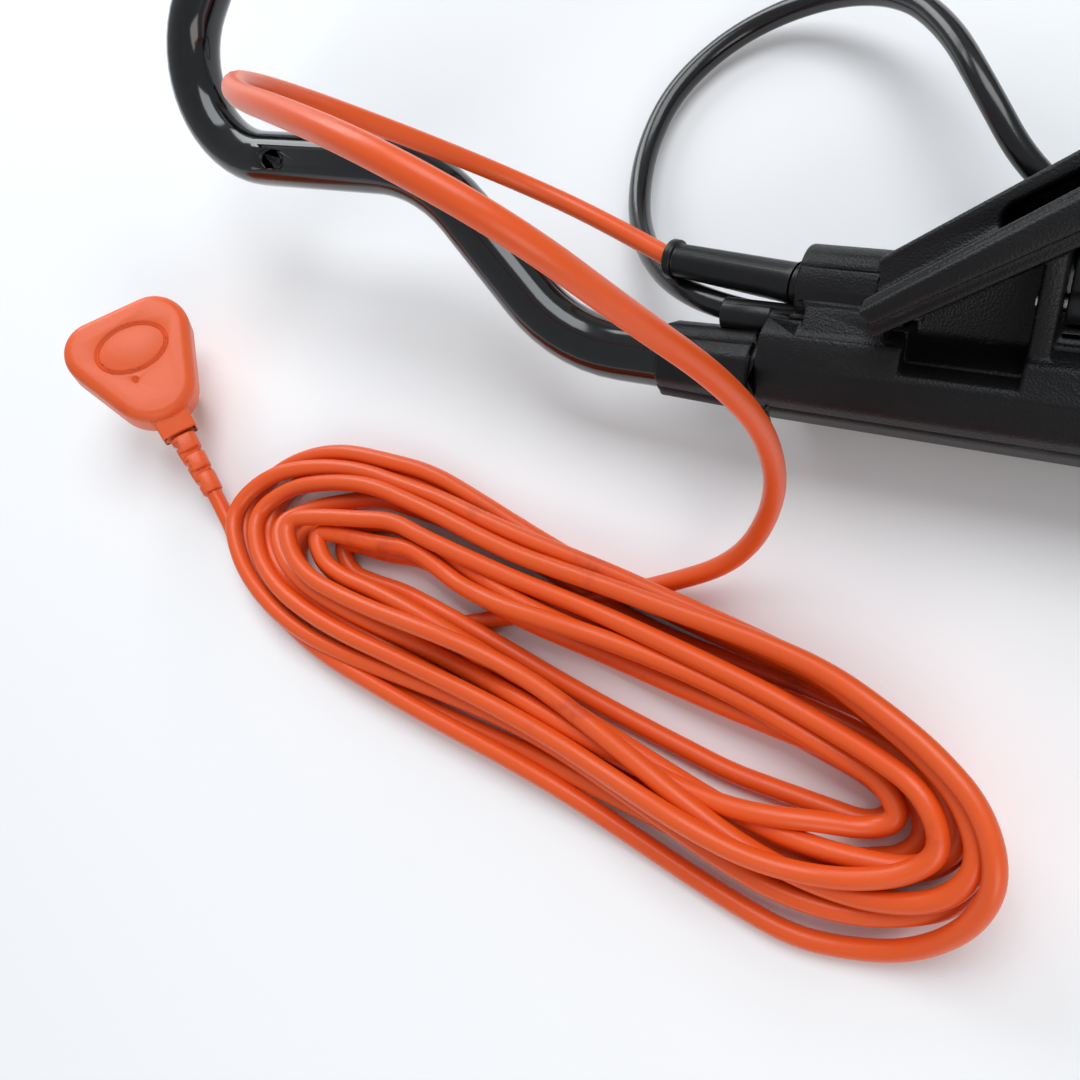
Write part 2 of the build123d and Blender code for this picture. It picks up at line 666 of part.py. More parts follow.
TYRE_T = 9.0
for corner, side, y, radius in WHEEL_SPOTS:
    axle_line = Axis((0, y, radius), (1, 0, 0))
    half_plane = Plane((0, y, radius), x_dir=(side, 0, 0), z_dir=(0, -side, 0))
    inner = radius - TYRE_T
    with BuildPart() as rim:
        with BuildSketch(half_plane):
            with BuildLine():
                Polyline(
                    (WHEEL_IN - 3, AXLE_R + RUNNING),
                    (WHEEL_IN - 3, 13),
                    (WHEEL_IN + 14, 15),
                    (WHEEL_IN + 14, inner - 6),
                    (WHEEL_IN + 2, inner - 4),
                    (WHEEL_IN + 2, inner),
                    (WHEEL_OUT - 2, inner),
                    (WHEEL_OUT - 2, inner - 4),
                    (WHEEL_IN + 19, inner - 7),
                    (WHEEL_IN + 19, 15),
                    (WHEEL_OUT, 13),
                    (WHEEL_OUT, 9.5),
                    (WHEEL_OUT - 6.5, 9.5),
                    (WHEEL_OUT - 6.5, AXLE_R + RUNNING),
                    (WHEEL_IN - 3, AXLE_R + RUNNING),
                )
            make_face()
        revolve(axis=axle_line)
        outward = Plane((side * (WHEEL_IN + 10), y, radius), x_dir=(0, side, 0), z_dir=(side, 0, 0))
        with BuildSketch(outward):
            with PolarLocations((inner + 9) / 2, 8):
                RectangleRounded(inner * 0.36, inner * 0.24, 4)
        extrude(amount=20, mode=Mode.SUBTRACT)
    save(rim, f"rim_{corner}")
    with BuildPart() as tyre:
        with BuildSketch(half_plane):
            with BuildLine():
                Polyline(
                    (WHEEL_IN, inner - 2),
                    (WHEEL_IN, radius - 4),
                    (WHEEL_IN + 5, radius),
                    (WHEEL_OUT - 5, radius),
                    (WHEEL_OUT, radius - 4),
                    (WHEEL_OUT, inner - 2),
                    (WHEEL_OUT - 2, inner - 2),
                    (WHEEL_OUT - 2, inner),
                    (WHEEL_IN + 2, inner),
                    (WHEEL_IN + 2, inner - 2),
                    (WHEEL_IN, inner - 2),
                )
            make_face()
        revolve(axis=axle_line)
        for edge_x, phase in ((WHEEL_IN, 0), (WHEEL_OUT - 13, 5)):
            with BuildSketch(Plane((side * edge_x, y, radius), x_dir=(0, side, 0), z_dir=(side, 0, 0))):
                with PolarLocations(radius, 36, start_angle=phase):
                    Rectangle(5, 4.5)
            extrude(amount=13, mode=Mode.SUBTRACT)
    save(tyre, f"tyre_{corner}")

# ======================================================================
# Motor and blade
# ======================================================================
MOTOR_Z = DECK_TOP
STATOR_Z = (MOTOR_Z + 12, MOTOR_Z + 72)
CAP_TOP = STATOR_Z[1] + 12


def disc(z, height, *circles):
    """Ring round the blade axis: outer radius, then an optional inner radius."""
    with BuildPart() as ring:
        with BuildSketch(Plane.XY.offset(z)):
            with Locations((0, BLADE_Y)):
                Circle(circles[0])
                if len(circles) > 1:
                    Circle(circles[1], mode=Mode.SUBTRACT)
        extrude(amount=height)
    return ring.part


with BuildPart() as motor_base:
    add(disc(MOTOR_Z, 12, 62))
    add(disc(MOTOR_Z - 10, 10, 30))
    add(disc(MOTOR_Z + 2, 10, BEARING_R), mode=Mode.SUBTRACT)
    add(disc(MOTOR_Z - 10, 14, 8.5), mode=Mode.SUBTRACT)
    with BuildSketch(Plane.XY.offset(MOTOR_Z)):
        with Locations((0, BLADE_Y)):
            with PolarLocations(50, 4, start_angle=45):
                Circle(2.5)
    extrude(amount=12, mode=Mode.SUBTRACT)
save(motor_base, "motor_base")

with BuildPart() as stator:
    add(disc(STATOR_Z[0], 60, MOTOR_R, 27))
    with BuildSketch(Plane.XY.offset(STATOR_Z[0])):
        with Locations((0, BLADE_Y)):
            with PolarLocations(36, 12):
                RectangleRounded(12, 6, 2)
    extrude(amount=60, mode=Mode.SUBTRACT)
save(stator, "motor_stator")

with BuildPart() as motor_cap:
    add(disc(STATOR_Z[1], 12, 58))
    add(disc(STATOR_Z[1], 10, BEARING_R), mode=Mode.SUBTRACT)
    add(disc(STATOR_Z[1] + 9, 4, 8.5), mode=Mode.SUBTRACT)
save(motor_cap, "motor_cap")

with BuildPart() as bearings:
    for z in (MOTOR_Z + 2, STATOR_Z[1] + 2):
        add(disc(z, 8, BEARING_R, SHAFT_R + 0.02))
save(bearings, "motor_bearings")

with BuildPart() as rotor_shaft:
    add(disc(BLADE_Z + 3, CAP_TOP + 14 - BLADE_Z - 3, SHAFT_R))
    add(disc(BLADE_Z + 3, 16, 4), mode=Mode.SUBTRACT)
save(rotor_shaft, "rotor_shaft")

with BuildPart() as rotor_core:
    add(disc(STATOR_Z[0] + 2, 56, 26.4, SHAFT_R))
save(rotor_core, "rotor_core")

FAN_Z = CAP_TOP + 3
with BuildPart() as fan:
    add(disc(FAN_Z, 2, 46, SHAFT_R))
    add(disc(FAN_Z, 10, 12, SHAFT_R))
    with BuildSketch(Plane.XY.offset(FAN_Z + 2)):
        with Locations((0, BLADE_Y)):
            with PolarLocations(28, 9):
                Rectangle(34, 2)
    extrude(amount=7)
save(fan, "cooling_fan")

with BuildPart() as blade_hub:
    add(disc(BLADE_Z + 3, 52, 17, SHAFT_R))
    add(disc(BLADE_Z + 3, 6, 26, SHAFT_R))
save(blade_hub, "blade_hub")

with BuildPart() as blade:
    with BuildSketch(Plane.XY.offset(BLADE_Z)):
        with Locations((0, BLADE_Y)):
            Rectangle(2 * BLADE_R - 6, 46)
            Circle(4, mode=Mode.SUBTRACT)
    extrude(amount=3)
    for side in (-1, 1):
        tip = Plane((side * 96, BLADE_Y, BLADE_Z), x_dir=(0, side, 0), z_dir=(side, 0, 0))
        with BuildSketch(tip):
            with BuildLine():
                Polyline((-23, 0), (-16, 3), (-24, 13), (-26, 12), (-20, 3), (-23, 0))
            make_face()
        extrude(amount=55)
        with BuildSketch(tip):
            with BuildLine():
                Polyline((24, -1), (24, 3.5), (16, 3.5), (24, -1))
            make_face()
        extrude(amount=62, mode=Mode.SUBTRACT)
save(blade, "blade")

with BuildPart() as blade_bolt:
    add(disc(BLADE_Z, 18, 4))
    add(disc(BLADE_Z - 2, 2, 12))
    with BuildSketch(Plane.XY.offset(BLADE_Z - 8)):
        with Locations((0, BLADE_Y)):
            RegularPolygon(8, 6)
    extrude(amount=6)
save(blade_bolt, "blade_bolt")

CAPACITOR_R = 15.0
with BuildPart() as capacitor:
    with BuildSketch(Plane.XY.offset(DECK_TOP)):
        with Locations((0, BLADE_Y + 84)):
            Circle(CAPACITOR_R)
    extrude(amount=58)
save(capacitor, "run_capacitor")

COVER_TOP = 238.0
GLAND_X, GLAND_Z = 78.0, 152.0
GLAND_TIP = BLADE_Y - 112.0
with BuildPart() as motor_cover:
    with BuildSketch(Plane.XZ.offset(-BLADE_Y)) as half:
        with BuildLine():
            Line((COVER_R - 3, DECK_TOP), (COVER_R, DECK_TOP))
            Line((COVER_R, DECK_TOP), (COVER_R - 8, 200))
            ThreePointArc((COVER_R - 8, 200), (93, 225), (64, COVER_TOP - 3))
            Line((64, COVER_TOP - 3), (0, COVER_TOP))
            Line((0, COVER_TOP), (0, COVER_TOP - 3))
            Line((0, COVER_TOP - 3), (63, COVER_TOP - 6))
            ThreePointArc((63, COVER_TOP - 6), (90.5, 223.5), (COVER_R - 11, 199))
            Line((COVER_R - 11, 199), (COVER_R - 3, DECK_TOP))
        make_face()
    revolve(axis=Axis((0, BLADE_Y, 0), (0, 0, 1)))
    with BuildSketch(Plane.XY.offset(DECK_TOP)):
        with Locations((0, BLADE_Y)):
            Circle(COVER_R + 10)
            Circle(COVER_R - 2, mode=Mode.SUBTRACT)
            with PolarLocations(COVER_R + 5.5, 4, start_angle=45):
                Circle(2, mode=Mode.SUBTRACT)
    extrude(amount=3)
    # cooling slots in two banks
    for turn in (0, 180):
        with BuildSketch(Plane.XY.offset(205)):
            with Locations((0, BLADE_Y)):
                with PolarLocations(66, 9, start_angle=turn - 48, angular_range=96, endpoint=True):
                    SlotOverall(34, 4.4)
        extrude(amount=40, mode=Mode.SUBTRACT)
    with BuildSketch(Plane((GLAND_X, BLADE_Y - 60, GLAND_Z), z_dir=(0, -1, 0))):
        Circle(8)
    extrude(amount=70, mode=Mode.SUBTRACT)
save(motor_cover, "motor_cover")

with BuildPart() as cable_gland:
    with BuildSketch(Plane((GLAND_X, BLADE_Y - 62, GLAND_Z), z_dir=(0, -1, 0))):
        Circle(8)
    extrude(amount=34)
    with BuildSketch(Plane((GLAND_X, BLADE_Y - 92, GLAND_Z), z_dir=(0, -1, 0))) as wide:
        Circle(8)
    with BuildSketch(Plane((GLAND_X, GLAND_TIP, GLAND_Z), z_dir=(0, -1, 0))) as slim:
        Circle(5.6)
    loft([wide.sketch, slim.sketch])
    with BuildSketch(Plane((GLAND_X, BLADE_Y - 64, GLAND_Z), z_dir=(0, -1, 0))):
        Circle(CABLE_D / 2)
    extrude(amount=60, mode=Mode.SUBTRACT)
save(cable_gland, "motor_cable_gland")

with BuildPart() as deck_screws:
    for side in (-1, 1):
        for shift in (-22, 22):
            spot = (side * FOOT_SCREW_X, PIVOT_Y + shift)
            with BuildSketch(Plane.XY.offset(DECK_TOP)):
                with Locations(spot):
                    Circle(2.5)
            extrude(amount=4)
            with BuildSketch(Plane.XY.offset(DECK_TOP + 4)):
                with Locations(spot):
                    Circle(4.5)
                    RegularPolygon(1.8, 6, mode=Mode.SUBTRACT)
            extrude(amount=2.6)
            with BuildSketch(Plane.XY.offset(DECK_TOP + 4)):
                with Locations(spot):
                    RegularPolygon(1.8, 6)
            extrude(amount=0.8)
save(deck_screws, "bracket_screws")

with BuildPart() as motor_screws:
    for angle in (45, 135, 225, 315):
        spot = (50 * cos(radians(angle)), BLADE_Y + 50 * sin(radians(angle)))
        with BuildSketch(Plane.XY.offset(DECK_TOP)):
            with Locations(spot):
                Circle(2.5)
        extrude(amount=11.5)
save(motor_screws, "motor_screws")

with BuildPart() as cover_screws:
    for angle in (45, 135, 225, 315):
        reach = COVER_R + 5.5
        spot = (reach * cos(radians(angle)), BLADE_Y + reach * sin(radians(angle)))
        with BuildSketch(Plane.XY.offset(DECK_TOP)):
            with Locations(spot):
                Circle(2)
        extrude(amount=3)
        with BuildSketch(Plane.XY.offset(DECK_TOP + 3)):
            with Locations(spot):
                Circle(3.8)
        extrude(amount=2.4, taper=20)
save(cover_screws, "cover_screws")

# ======================================================================
# Cables, their clips and the plug
# ======================================================================
def cord(name, points, diameter):
    """Plain tube along straight runs joined by arcs as large as the runs allow."""
    radii = corner_radii(points)
    with BuildPart() as tube:
        with BuildLine() as route:
            FilletPolyline(*points, radius=radii)
        with BuildSketch(Plane(origin=route.line @ 0, z_dir=route.line % 0)):
            Circle(diameter / 2)
        sweep()
    report_cord(name, tube, route, diameter, radii)
    save(tube, name)


def behind(x, y, z):
    """World point of a place given from the crossbar's middle on the floor."""
    return (x, CROSSBAR_Y + y, z)


# Orange lead: out of its sleeve, up in a tall arch and down to the hank
LEAD_ROUTE = [
    tuple(LEAD_EXIT),
    behind(-184, 44, 41),
    behind(-212, 48, 55),
    behind(-230, 43, 82),
    behind(-252, 36, 114),
    behind(-250, 21, 146),
    behind(-220, -1, 171),
    behind(-182, -17, 188),
    behind(-146, -31, 198),
    behind(-118, -38, 185),
    behind(-103, -40, 156),
    behind(-94, -37, 120),
    behind(-91, -36, 82),
    behind(-94, -43, 46),
    behind(-108, -58, 18),
    behind(-136, -70, 6),
]
cord("mains_lead", LEAD_ROUTE, LEAD_D)

HANK_OUTSIDE = [
    (-328, -84),
    (-318, -58),
    (-288, -47),
    (-240, -46),
    (-186, -58),
    (-120, -70),
    (-62, -75),
    (-26, -90),
    (-2, -120),
    (-6, -146),
    (-28, -162),
    (-62, -161),
    (-104, -148),
    (-154, -137),
    (-212, -132),
    (-268, -126),
    (-308, -108),
]
HANK_INSIDE = [(-284, -82), (-240, -73), (-180, -90), (-100, -104), (-46, -112), (-44, -124), (-92, -124), (-190, -108), (-270, -98)]
HANK_HEIGHT = 22.0
with BuildPart() as hank:
    with BuildSketch():
        for outline, mode in ((HANK_OUTSIDE, Mode.ADD), (HANK_INSIDE, Mode.SUBTRACT)):
            with BuildLine():
                FilletPolyline(*[behind(x, y, 0)[:2] for x, y in outline], radius=4, close=True)
            make_face(mode=mode)
    extrude(amount=HANK_HEIGHT)
save(hank, "lead_hank")

# Three-pin plug lying on its pins, its moulded back turned up
PLUG_BACK = Vector(*behind(-372, -36, 39.8))
PLUG_UP = Vector(0.548, 0.073, 0.833).normalized()
PLUG_CORD = (Vector(0.65, -0.665, -0.37) - PLUG_UP * PLUG_UP.dot(Vector(0.65, -0.665, -0.37))).normalized()
PLUG = Plane(origin=PLUG_BACK, x_dir=PLUG_UP.cross(PLUG_CORD), z_dir=PLUG_UP)
PLUG_T = 17.0
with BuildPart() as plug_body:
    with BuildSketch(PLUG):
        for spot, radius in (((-12.5, 11), 14), ((12.5, 11), 14), ((0, -9), 18)):
            with Locations(spot):
                Circle(radius)
        make_hull()
    extrude(amount=-PLUG_T)
    fillet(faces().filter_by(PLUG).sort_by(Axis(PLUG.origin, PLUG.z_dir))[-1].edges(), radius=4.5)
    # shallow oval and a moulding dot in the back
    with BuildSketch(PLUG.offset(-0.4)):
        with Locations((0, 6)):
            Ellipse(15, 10)
            Ellipse(14.2, 9.2, mode=Mode.SUBTRACT)
        with Locations((-5, -7)):
            Circle(0.9)
    extrude(amount=1, mode=Mode.SUBTRACT)
    with BuildSketch(PLUG.offset(-3.5)):
        with Locations((0, -29)):
            Rectangle(15, 10)
    extrude(amount=-10)
    boot_root = Plane(origin=PLUG.from_local_coords((0, -33, -8.5)), x_dir=PLUG.x_dir, z_dir=-PLUG.y_dir)
    with BuildSketch(boot_root) as boot_wide:
        RectangleRounded(11, 9, 3.5)
    with BuildSketch(boot_root.offset(29)) as boot_slim:
        RectangleRounded(8.4, 8.4, 4)
    loft([boot_wide.sketch, boot_slim.sketch])
    # flexing slots, alternately from above and below
    for step in range(5):
        side = 1 if step % 2 else -1
        with BuildSketch(boot_root.offset(4.5 + 4.6 * step)):
            with Locations((0, side * 4.6)):
                Rectangle(12, 4)
            with Locations((side * 4.8, 0)):
                Rectangle(3, 12)
        extrude(amount=1.8, mode=Mode.SUBTRACT)
save(plug_body, "plug_body")

PIN_FACE = PLUG.offset(-PLUG_T)
with BuildPart() as plug_pins:
    with BuildSketch(PIN_FACE):
        with Locations((0, 11.1)):
            Rectangle(4, 8)
    extrude(amount=-22.7)
    with BuildSketch(PIN_FACE):
        with Locations((-11.1, -11.1), (11.1, -11.1)):
            Rectangle(6.3, 4)
    extrude(amount=-17.7)
save(plug_pins, "plug_pins")

with BuildPart() as fuse_cover:
    with BuildSketch(PIN_FACE):
        with Locations((0, -2)):
            RectangleRounded(26, 6, 2)
    extrude(amount=-1.2)
save(fuse_cover, "plug_fuse_cover")

TAIL_START = PLUG.from_local_coords(Vector(0, -62, -8.5))
TAIL_ROUTE = [tuple(TAIL_START), behind(-327, -88, 4.2), behind(-316, -99, 4.2)]
cord("plug_tail", TAIL_ROUTE, LEAD_D)

# Black motor cable: loop on the floor, behind the wing, up the right leg to the deck
leg_run = on_handle(JOINT_HALF, ELBOW_P) - on_handle(HANDLE_HALF_WIDTH, HORN_P)
LEG_DIR = leg_run.normalized()
LEG_IN = HANDLE.z_dir.cross(LEG_DIR).normalized()
CABLE_OFF = 15.3
LEG_SPOTS = (70.0, 290.0)


def leg_spot(along):
    """Place on the right leg's line, from the horn's corner towards the joint."""
    return on_handle(HANDLE_HALF_WIDTH, HORN_P) + LEG_DIR * along


LOOP_ROUTE = [
    tuple(on_handle(-BOX_HALF, CABLE_P, CABLE_N)),
    behind(-132, 16.5, 41),
    behind(-154, 27, 32),
    behind(-173, 44, 21),
    behind(-187, 67, 11),
    behind(-193, 93, 7),
    behind(-190, 118, 6),
    behind(-176, 139, 6),
    behind(-155, 151, 9),
    behind(-129, 152, 17),
    behind(-105, 142, 27),
    behind(-86, 122, 36),
    behind(-70, 98, 40),
    behind(-52, 76, 30),
    behind(-24, 66, 12),
    behind(16, 74, 5),
    behind(64, 92, 5),
    behind(120, 108, 5),
    behind(178, 106, 5),
    behind(232, 84, 7),
    behind(276, 60, 18),
    behind(312, 54, 42),
    behind(331, 77, 70),
    tuple(leg_spot(LEG_SPOTS[0]) + LEG_IN * CABLE_OFF),
    tuple(leg_spot(LEG_SPOTS[1]) + LEG_IN * CABLE_OFF),
    tuple(on_handle(184, 345)),
    tuple(on_handle(180.5, 372)),
]
cord("motor_cable_loop", LOOP_ROUTE, CABLE_D)

CABLE_X = 176.0


def lower_spot(along):
    """Place on the motor cable's line beside the right lower tube."""
    return tuple(lower_frame(CABLE_X, along).origin)


cord("motor_cable_joint_bend", [tuple(on_handle(180.4, 372.8)), tuple(on_handle(CABLE_X, JOINT_P)), lower_spot(42)], CABLE_D)

with BuildPart() as lower_cable:
    with BuildSketch(Plane(lower_spot(42), z_dir=LOWER_DIR)):
        Circle(CABLE_D / 2)
    extrude(amount=LOWER_LENGTH - 95 - 42)
save(lower_cable, "motor_cable_lower")

DECK_BEND_ROUTE = [
    lower_spot(LOWER_LENGTH - 94.5),
    lower_spot(LOWER_LENGTH - 62),
    (160, PIVOT_Y - 30, 164),
    (130, PIVOT_Y - 9, 164),
    (99, PIVOT_Y, 160),
    (81, PIVOT_Y + 20, 154),
    (GLAND_X, GLAND_TIP, GLAND_Z),
]
cord("motor_cable_deck_bend", DECK_BEND_ROUTE, CABLE_D)


def cable_clip(place, direction, inward, spacing):
    """Band round a handle tube with a ring for the cable."""
    with BuildPart() as clip:
        with BuildSketch(Plane(origin=place - direction * 5, x_dir=inward, z_dir=direction)):
            Circle(TUBE_R + 2.4)
            with Locations((spacing, 0)):
                Circle(CABLE_D / 2 + 2.2)
            make_hull()
            Circle(TUBE_R, mode=Mode.SUBTRACT)
            with Locations((spacing, 0)):
                Circle(CABLE_D / 2, mode=Mode.SUBTRACT)
        extrude(amount=10)
    return clip.part


with BuildPart() as upper_clips:
    for along in LEG_SPOTS:
        add(cable_clip(leg_spot(along + (8 if along < 100 else -8)), LEG_DIR, LEG_IN, CABLE_OFF))
save(upper_clips, "upper_cable_clips")

with BuildPart() as lower_clips:
    for along in (72.0, LOWER_LENGTH / 2, LOWER_LENGTH - 112.0):
        place = lower_frame(LOWER_HALF, along).origin
        add(cable_clip(place, LOWER_DIR, Vector(-1, 0, 0), LOWER_HALF - CABLE_X))
save(lower_clips, "lower_cable_clips")
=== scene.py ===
"""Finish for a corded push mower with a folding bullhorn handle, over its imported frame."""

import json
import math
import random

import bpy
from bpy.props import FloatProperty, FloatVectorProperty, IntProperty, PointerProperty
from mathutils import Matrix, Vector

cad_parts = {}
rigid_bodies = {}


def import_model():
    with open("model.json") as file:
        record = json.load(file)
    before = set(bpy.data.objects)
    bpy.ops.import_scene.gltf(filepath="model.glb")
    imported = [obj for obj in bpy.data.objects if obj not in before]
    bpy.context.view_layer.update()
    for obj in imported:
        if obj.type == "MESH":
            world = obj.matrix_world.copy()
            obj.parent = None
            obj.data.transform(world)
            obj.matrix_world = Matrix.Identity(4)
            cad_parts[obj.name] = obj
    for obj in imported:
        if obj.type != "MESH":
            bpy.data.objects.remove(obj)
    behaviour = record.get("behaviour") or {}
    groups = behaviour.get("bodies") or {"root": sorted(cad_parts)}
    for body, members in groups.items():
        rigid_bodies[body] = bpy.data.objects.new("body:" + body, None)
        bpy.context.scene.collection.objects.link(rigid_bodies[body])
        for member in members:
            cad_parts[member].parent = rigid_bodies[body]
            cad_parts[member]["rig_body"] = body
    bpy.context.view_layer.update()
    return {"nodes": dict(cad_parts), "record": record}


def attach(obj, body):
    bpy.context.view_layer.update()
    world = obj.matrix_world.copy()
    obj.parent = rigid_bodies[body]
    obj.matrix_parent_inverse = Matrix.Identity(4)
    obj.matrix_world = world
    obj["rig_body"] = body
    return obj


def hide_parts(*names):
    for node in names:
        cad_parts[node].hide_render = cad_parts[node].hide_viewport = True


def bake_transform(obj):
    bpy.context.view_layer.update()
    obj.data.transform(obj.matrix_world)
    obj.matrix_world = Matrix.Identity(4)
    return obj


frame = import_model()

bl_info = {
    "name": "Push mower finish",
    "version": (1, 0, 0),
    "blender": (4, 5, 0),
    "location": "View3D > Sidebar > Mower",
    "description": "Cords, moulded and painted finishes and a studio for a corded push mower",
    "category": "Object",
}

# ---- Places shared with the part, in millimetres until they are turned into metres ----
MM = 0.001
CROSSBAR_Y = -603.8
CROSSBAR_Z = 34.0
HANDLE_TILT = math.radians(32)
PIVOT = Vector((0, 202.2, 150.0)) * MM
JOINT_P = 410.0
LOWER_LENGTH = 469.355
UPPER_CORNER = (382, 54)
UPPER_FOOT = (200, 366)
LEG_CABLE_OFFSET = 15.3
CABLE_X = 176.0
LEAD_D = 0.0065
CABLE_D = 0.0083


def on_handle(x, p, n=0.0):
    """World point of a place given across, along and above the handle's plane."""
    y = CROSSBAR_Y + p * math.cos(HANDLE_TILT) - n * math.sin(HANDLE_TILT)
    z = CROSSBAR_Z + p * math.sin(HANDLE_TILT) + n * math.cos(HANDLE_TILT)
    return Vector((x, y, z)) * MM


def behind(x, y, z):
    """World point of a place given from the foot of the crossbar."""
    return Vector((x, CROSSBAR_Y + y, z)) * MM


JOINT = on_handle(0, JOINT_P)
LOWER_DIR = (PIVOT - JOINT).normalized()


def lower_spot(run):
    """World point on the lower handle's cable line, a run of millimetres below the joint."""
    return JOINT + Vector((CABLE_X * MM, 0, 0)) + LOWER_DIR * run * MM


def leg_spot(run):
    """Point beside the upper handle's right leg, a run of millimetres from its corner."""
    corner = on_handle(*UPPER_CORNER)
    along = (on_handle(*UPPER_FOOT) - corner).normalized()
    handle_up = Vector((0, -math.sin(HANDLE_TILT), math.cos(HANDLE_TILT)))
    return corner + (along * run + handle_up.cross(along) * LEG_CABLE_OFFSET) * MM


LEAD_ROUTE = [on_handle(-152, 30.5, -9)] + [
    behind(*place)
    for place in (
        (-184, 44, 41), (-212, 48, 55), (-230, 43, 82), (-252, 36, 114), (-250, 21, 146),
        (-220, -1, 171), (-182, -17, 188), (-146, -31, 198), (-118, -38, 185),
        (-103, -40, 156), (-94, -37, 120), (-91, -36, 82), (-94, -43, 46),
        (-108, -58, 18), (-136, -70, 6),
    )
]
TAIL_ROUTE = [behind(-316, -99, 4.2), behind(-327, -88, 4.2), behind(-336.4, -77.8, 9.8)]
HANK_OUTSIDE = [
    (-328, -84), (-318, -58), (-288, -47), (-240, -46), (-186, -58), (-120, -70),
    (-62, -75), (-22, -90), (6, -120), (5, -150), (-20, -169), (-60, -168),
    (-104, -155), (-154, -143), (-212, -135), (-268, -126), (-308, -108),
]
HANK_INSIDE = [
    (-284, -82), (-240, -73), (-180, -90), (-100, -104), (-46, -112), (-44, -124),
    (-92, -124), (-190, -108), (-270, -98),
]
HANK_RUN_IN = [Vector((-168, -84)), Vector((-204, -101)), Vector((-240, -112))]
HANK_SEED = 11
HANK_ORDER = (4, 0, 7, 2, 9, 1, 5, 8, 3, 6, 10, 12, 11, 13)
HANK_START = -0.07
HANK_END = -0.055
INNER_LANE = -0.30
LANE_SHIFT = 0.4
WAVE_SIZES = (0.03, 0.10)
WAVE_RATES = (1, 2, 3)
PILE_STEP = 4
PILE_REACH = 3
PILE_PASSES = 10
PILE_NESTING = 0.96
FLOOR_GAP = 0.2
TAIL_GAP = 0.5
TAIL_SETTLE = 8
LOOP_ROUTE = (
    [on_handle(-112, 16.5, 1)]
    + [
        behind(*place)
        for place in (
            (-132, 16.5, 41), (-154, 27, 32), (-173, 44, 21), (-187, 67, 11), (-193, 93, 7),
            (-190, 118, 6), (-176, 139, 6), (-155, 151, 9), (-129, 152, 17), (-105, 142, 27),
            (-86, 122, 36), (-70, 98, 40), (-52, 76, 30), (-24, 66, 12), (16, 74, 5),
            (64, 92, 5), (120, 108, 5), (178, 106, 5), (232, 84, 7), (276, 60, 18),
            (312, 54, 42), (331, 77, 70),
        )
    ]
    + [leg_spot(70), leg_spot(290), on_handle(184, 345), on_handle(180.5, 372)]
)
JOINT_BEND = [on_handle(180.4, 372.8), on_handle(176, 410), lower_spot(42)]
LOWER_RUN = [lower_spot(42), lower_spot(200), lower_spot(LOWER_LENGTH - 95)]
DECK_BEND = [lower_spot(LOWER_LENGTH - 94.5), lower_spot(LOWER_LENGTH - 62)] + [
    Vector(place) * MM
    for place in (
        (160, 172.2, 164), (130, 193.2, 164), (99, 202.2, 160), (81, 222.2, 154),
        (78, 255.2, 152),
    )
]


# ======================================================================
# Settings that a user would change
# ======================================================================
def colour(name, description, value):
    """A colour setting."""
    return FloatVectorProperty(
        name=name, description=description, subtype="COLOR", size=4, min=0, max=1,
        default=(*value, 1.0),
    )


class MowerStageSettings(bpy.types.PropertyGroup):
    """Studio settings."""

    floor: colour("Floor", "Colour of the studio floor", (0.93, 0.935, 0.94))
    power: FloatProperty(
        name="Softbox power", description="Power of the large overhead softbox",
        default=26.0, min=0, unit="POWER",
    )
    lens: FloatProperty(
        name="Lens", description="Focal length on a 36 mm sensor", default=36.0, min=10,
    )


class MowerCordSettings(bpy.types.PropertyGroup):
    """Cord settings."""

    turns: IntProperty(
        name="Hank turns", description="Turns of lead lying in the loose hank",
        default=10, min=4, max=14,
    )
    turn_points: IntProperty(
        name="Points a turn", description="Control points in each turn of the hank",
        default=34, min=12, max=60,
    )
    lead: colour("Lead", "Colour of the mains lead", (0.80, 0.098, 0.012))
    cable: colour("Motor cable", "Colour of the motor cable", (0.002, 0.002, 0.0025))


class MowerFinishSettings(bpy.types.PropertyGroup):
    """Finish settings."""

    box: colour("Switch box", "Colour of the moulded switch box", (0.0042, 0.0043, 0.0050))
    paint: colour(
        "Handle paint", "Colour of the handle's gloss paint", (0.0015, 0.0015, 0.0018)
    )
    deck: colour("Deck", "Colour of the moulded deck", (0.62, 0.085, 0.03))


# ======================================================================
# Node groups and materials
# ======================================================================
def feed(tree, socket, value):
    """Link a socket to another one, or set its plain value."""
    if isinstance(value, bpy.types.NodeSocket):
        tree.links.new(value, socket)
    else:
        socket.default_value = value


def add_node(tree, kind, values=None, **settings):
    """A node with its settings, its input values and its incoming links."""
    made = tree.nodes.new(kind)
    for key, value in settings.items():
        setattr(made, key, value)
    for key, value in (values or {}).items():
        feed(tree, made.inputs[key], value)
    return made


def new_group(name, inputs, output):
    """An empty node group with vector and number inputs and one number output."""
    tree = bpy.data.node_groups.new(name, "ShaderNodeTree")
    for label in inputs:
        vector = label in ("Coordinates", "Facing")
        kind = "NodeSocketVector" if vector else "NodeSocketFloat"
        tree.interface.new_socket(label, in_out="INPUT", socket_type=kind)
    tree.interface.new_socket(output, in_out="OUTPUT", socket_type="NodeSocketFloat")
    source = tree.nodes.new("NodeGroupInput")
    result = tree.nodes.new("NodeGroupOutput")
    return tree, source.outputs, result.inputs


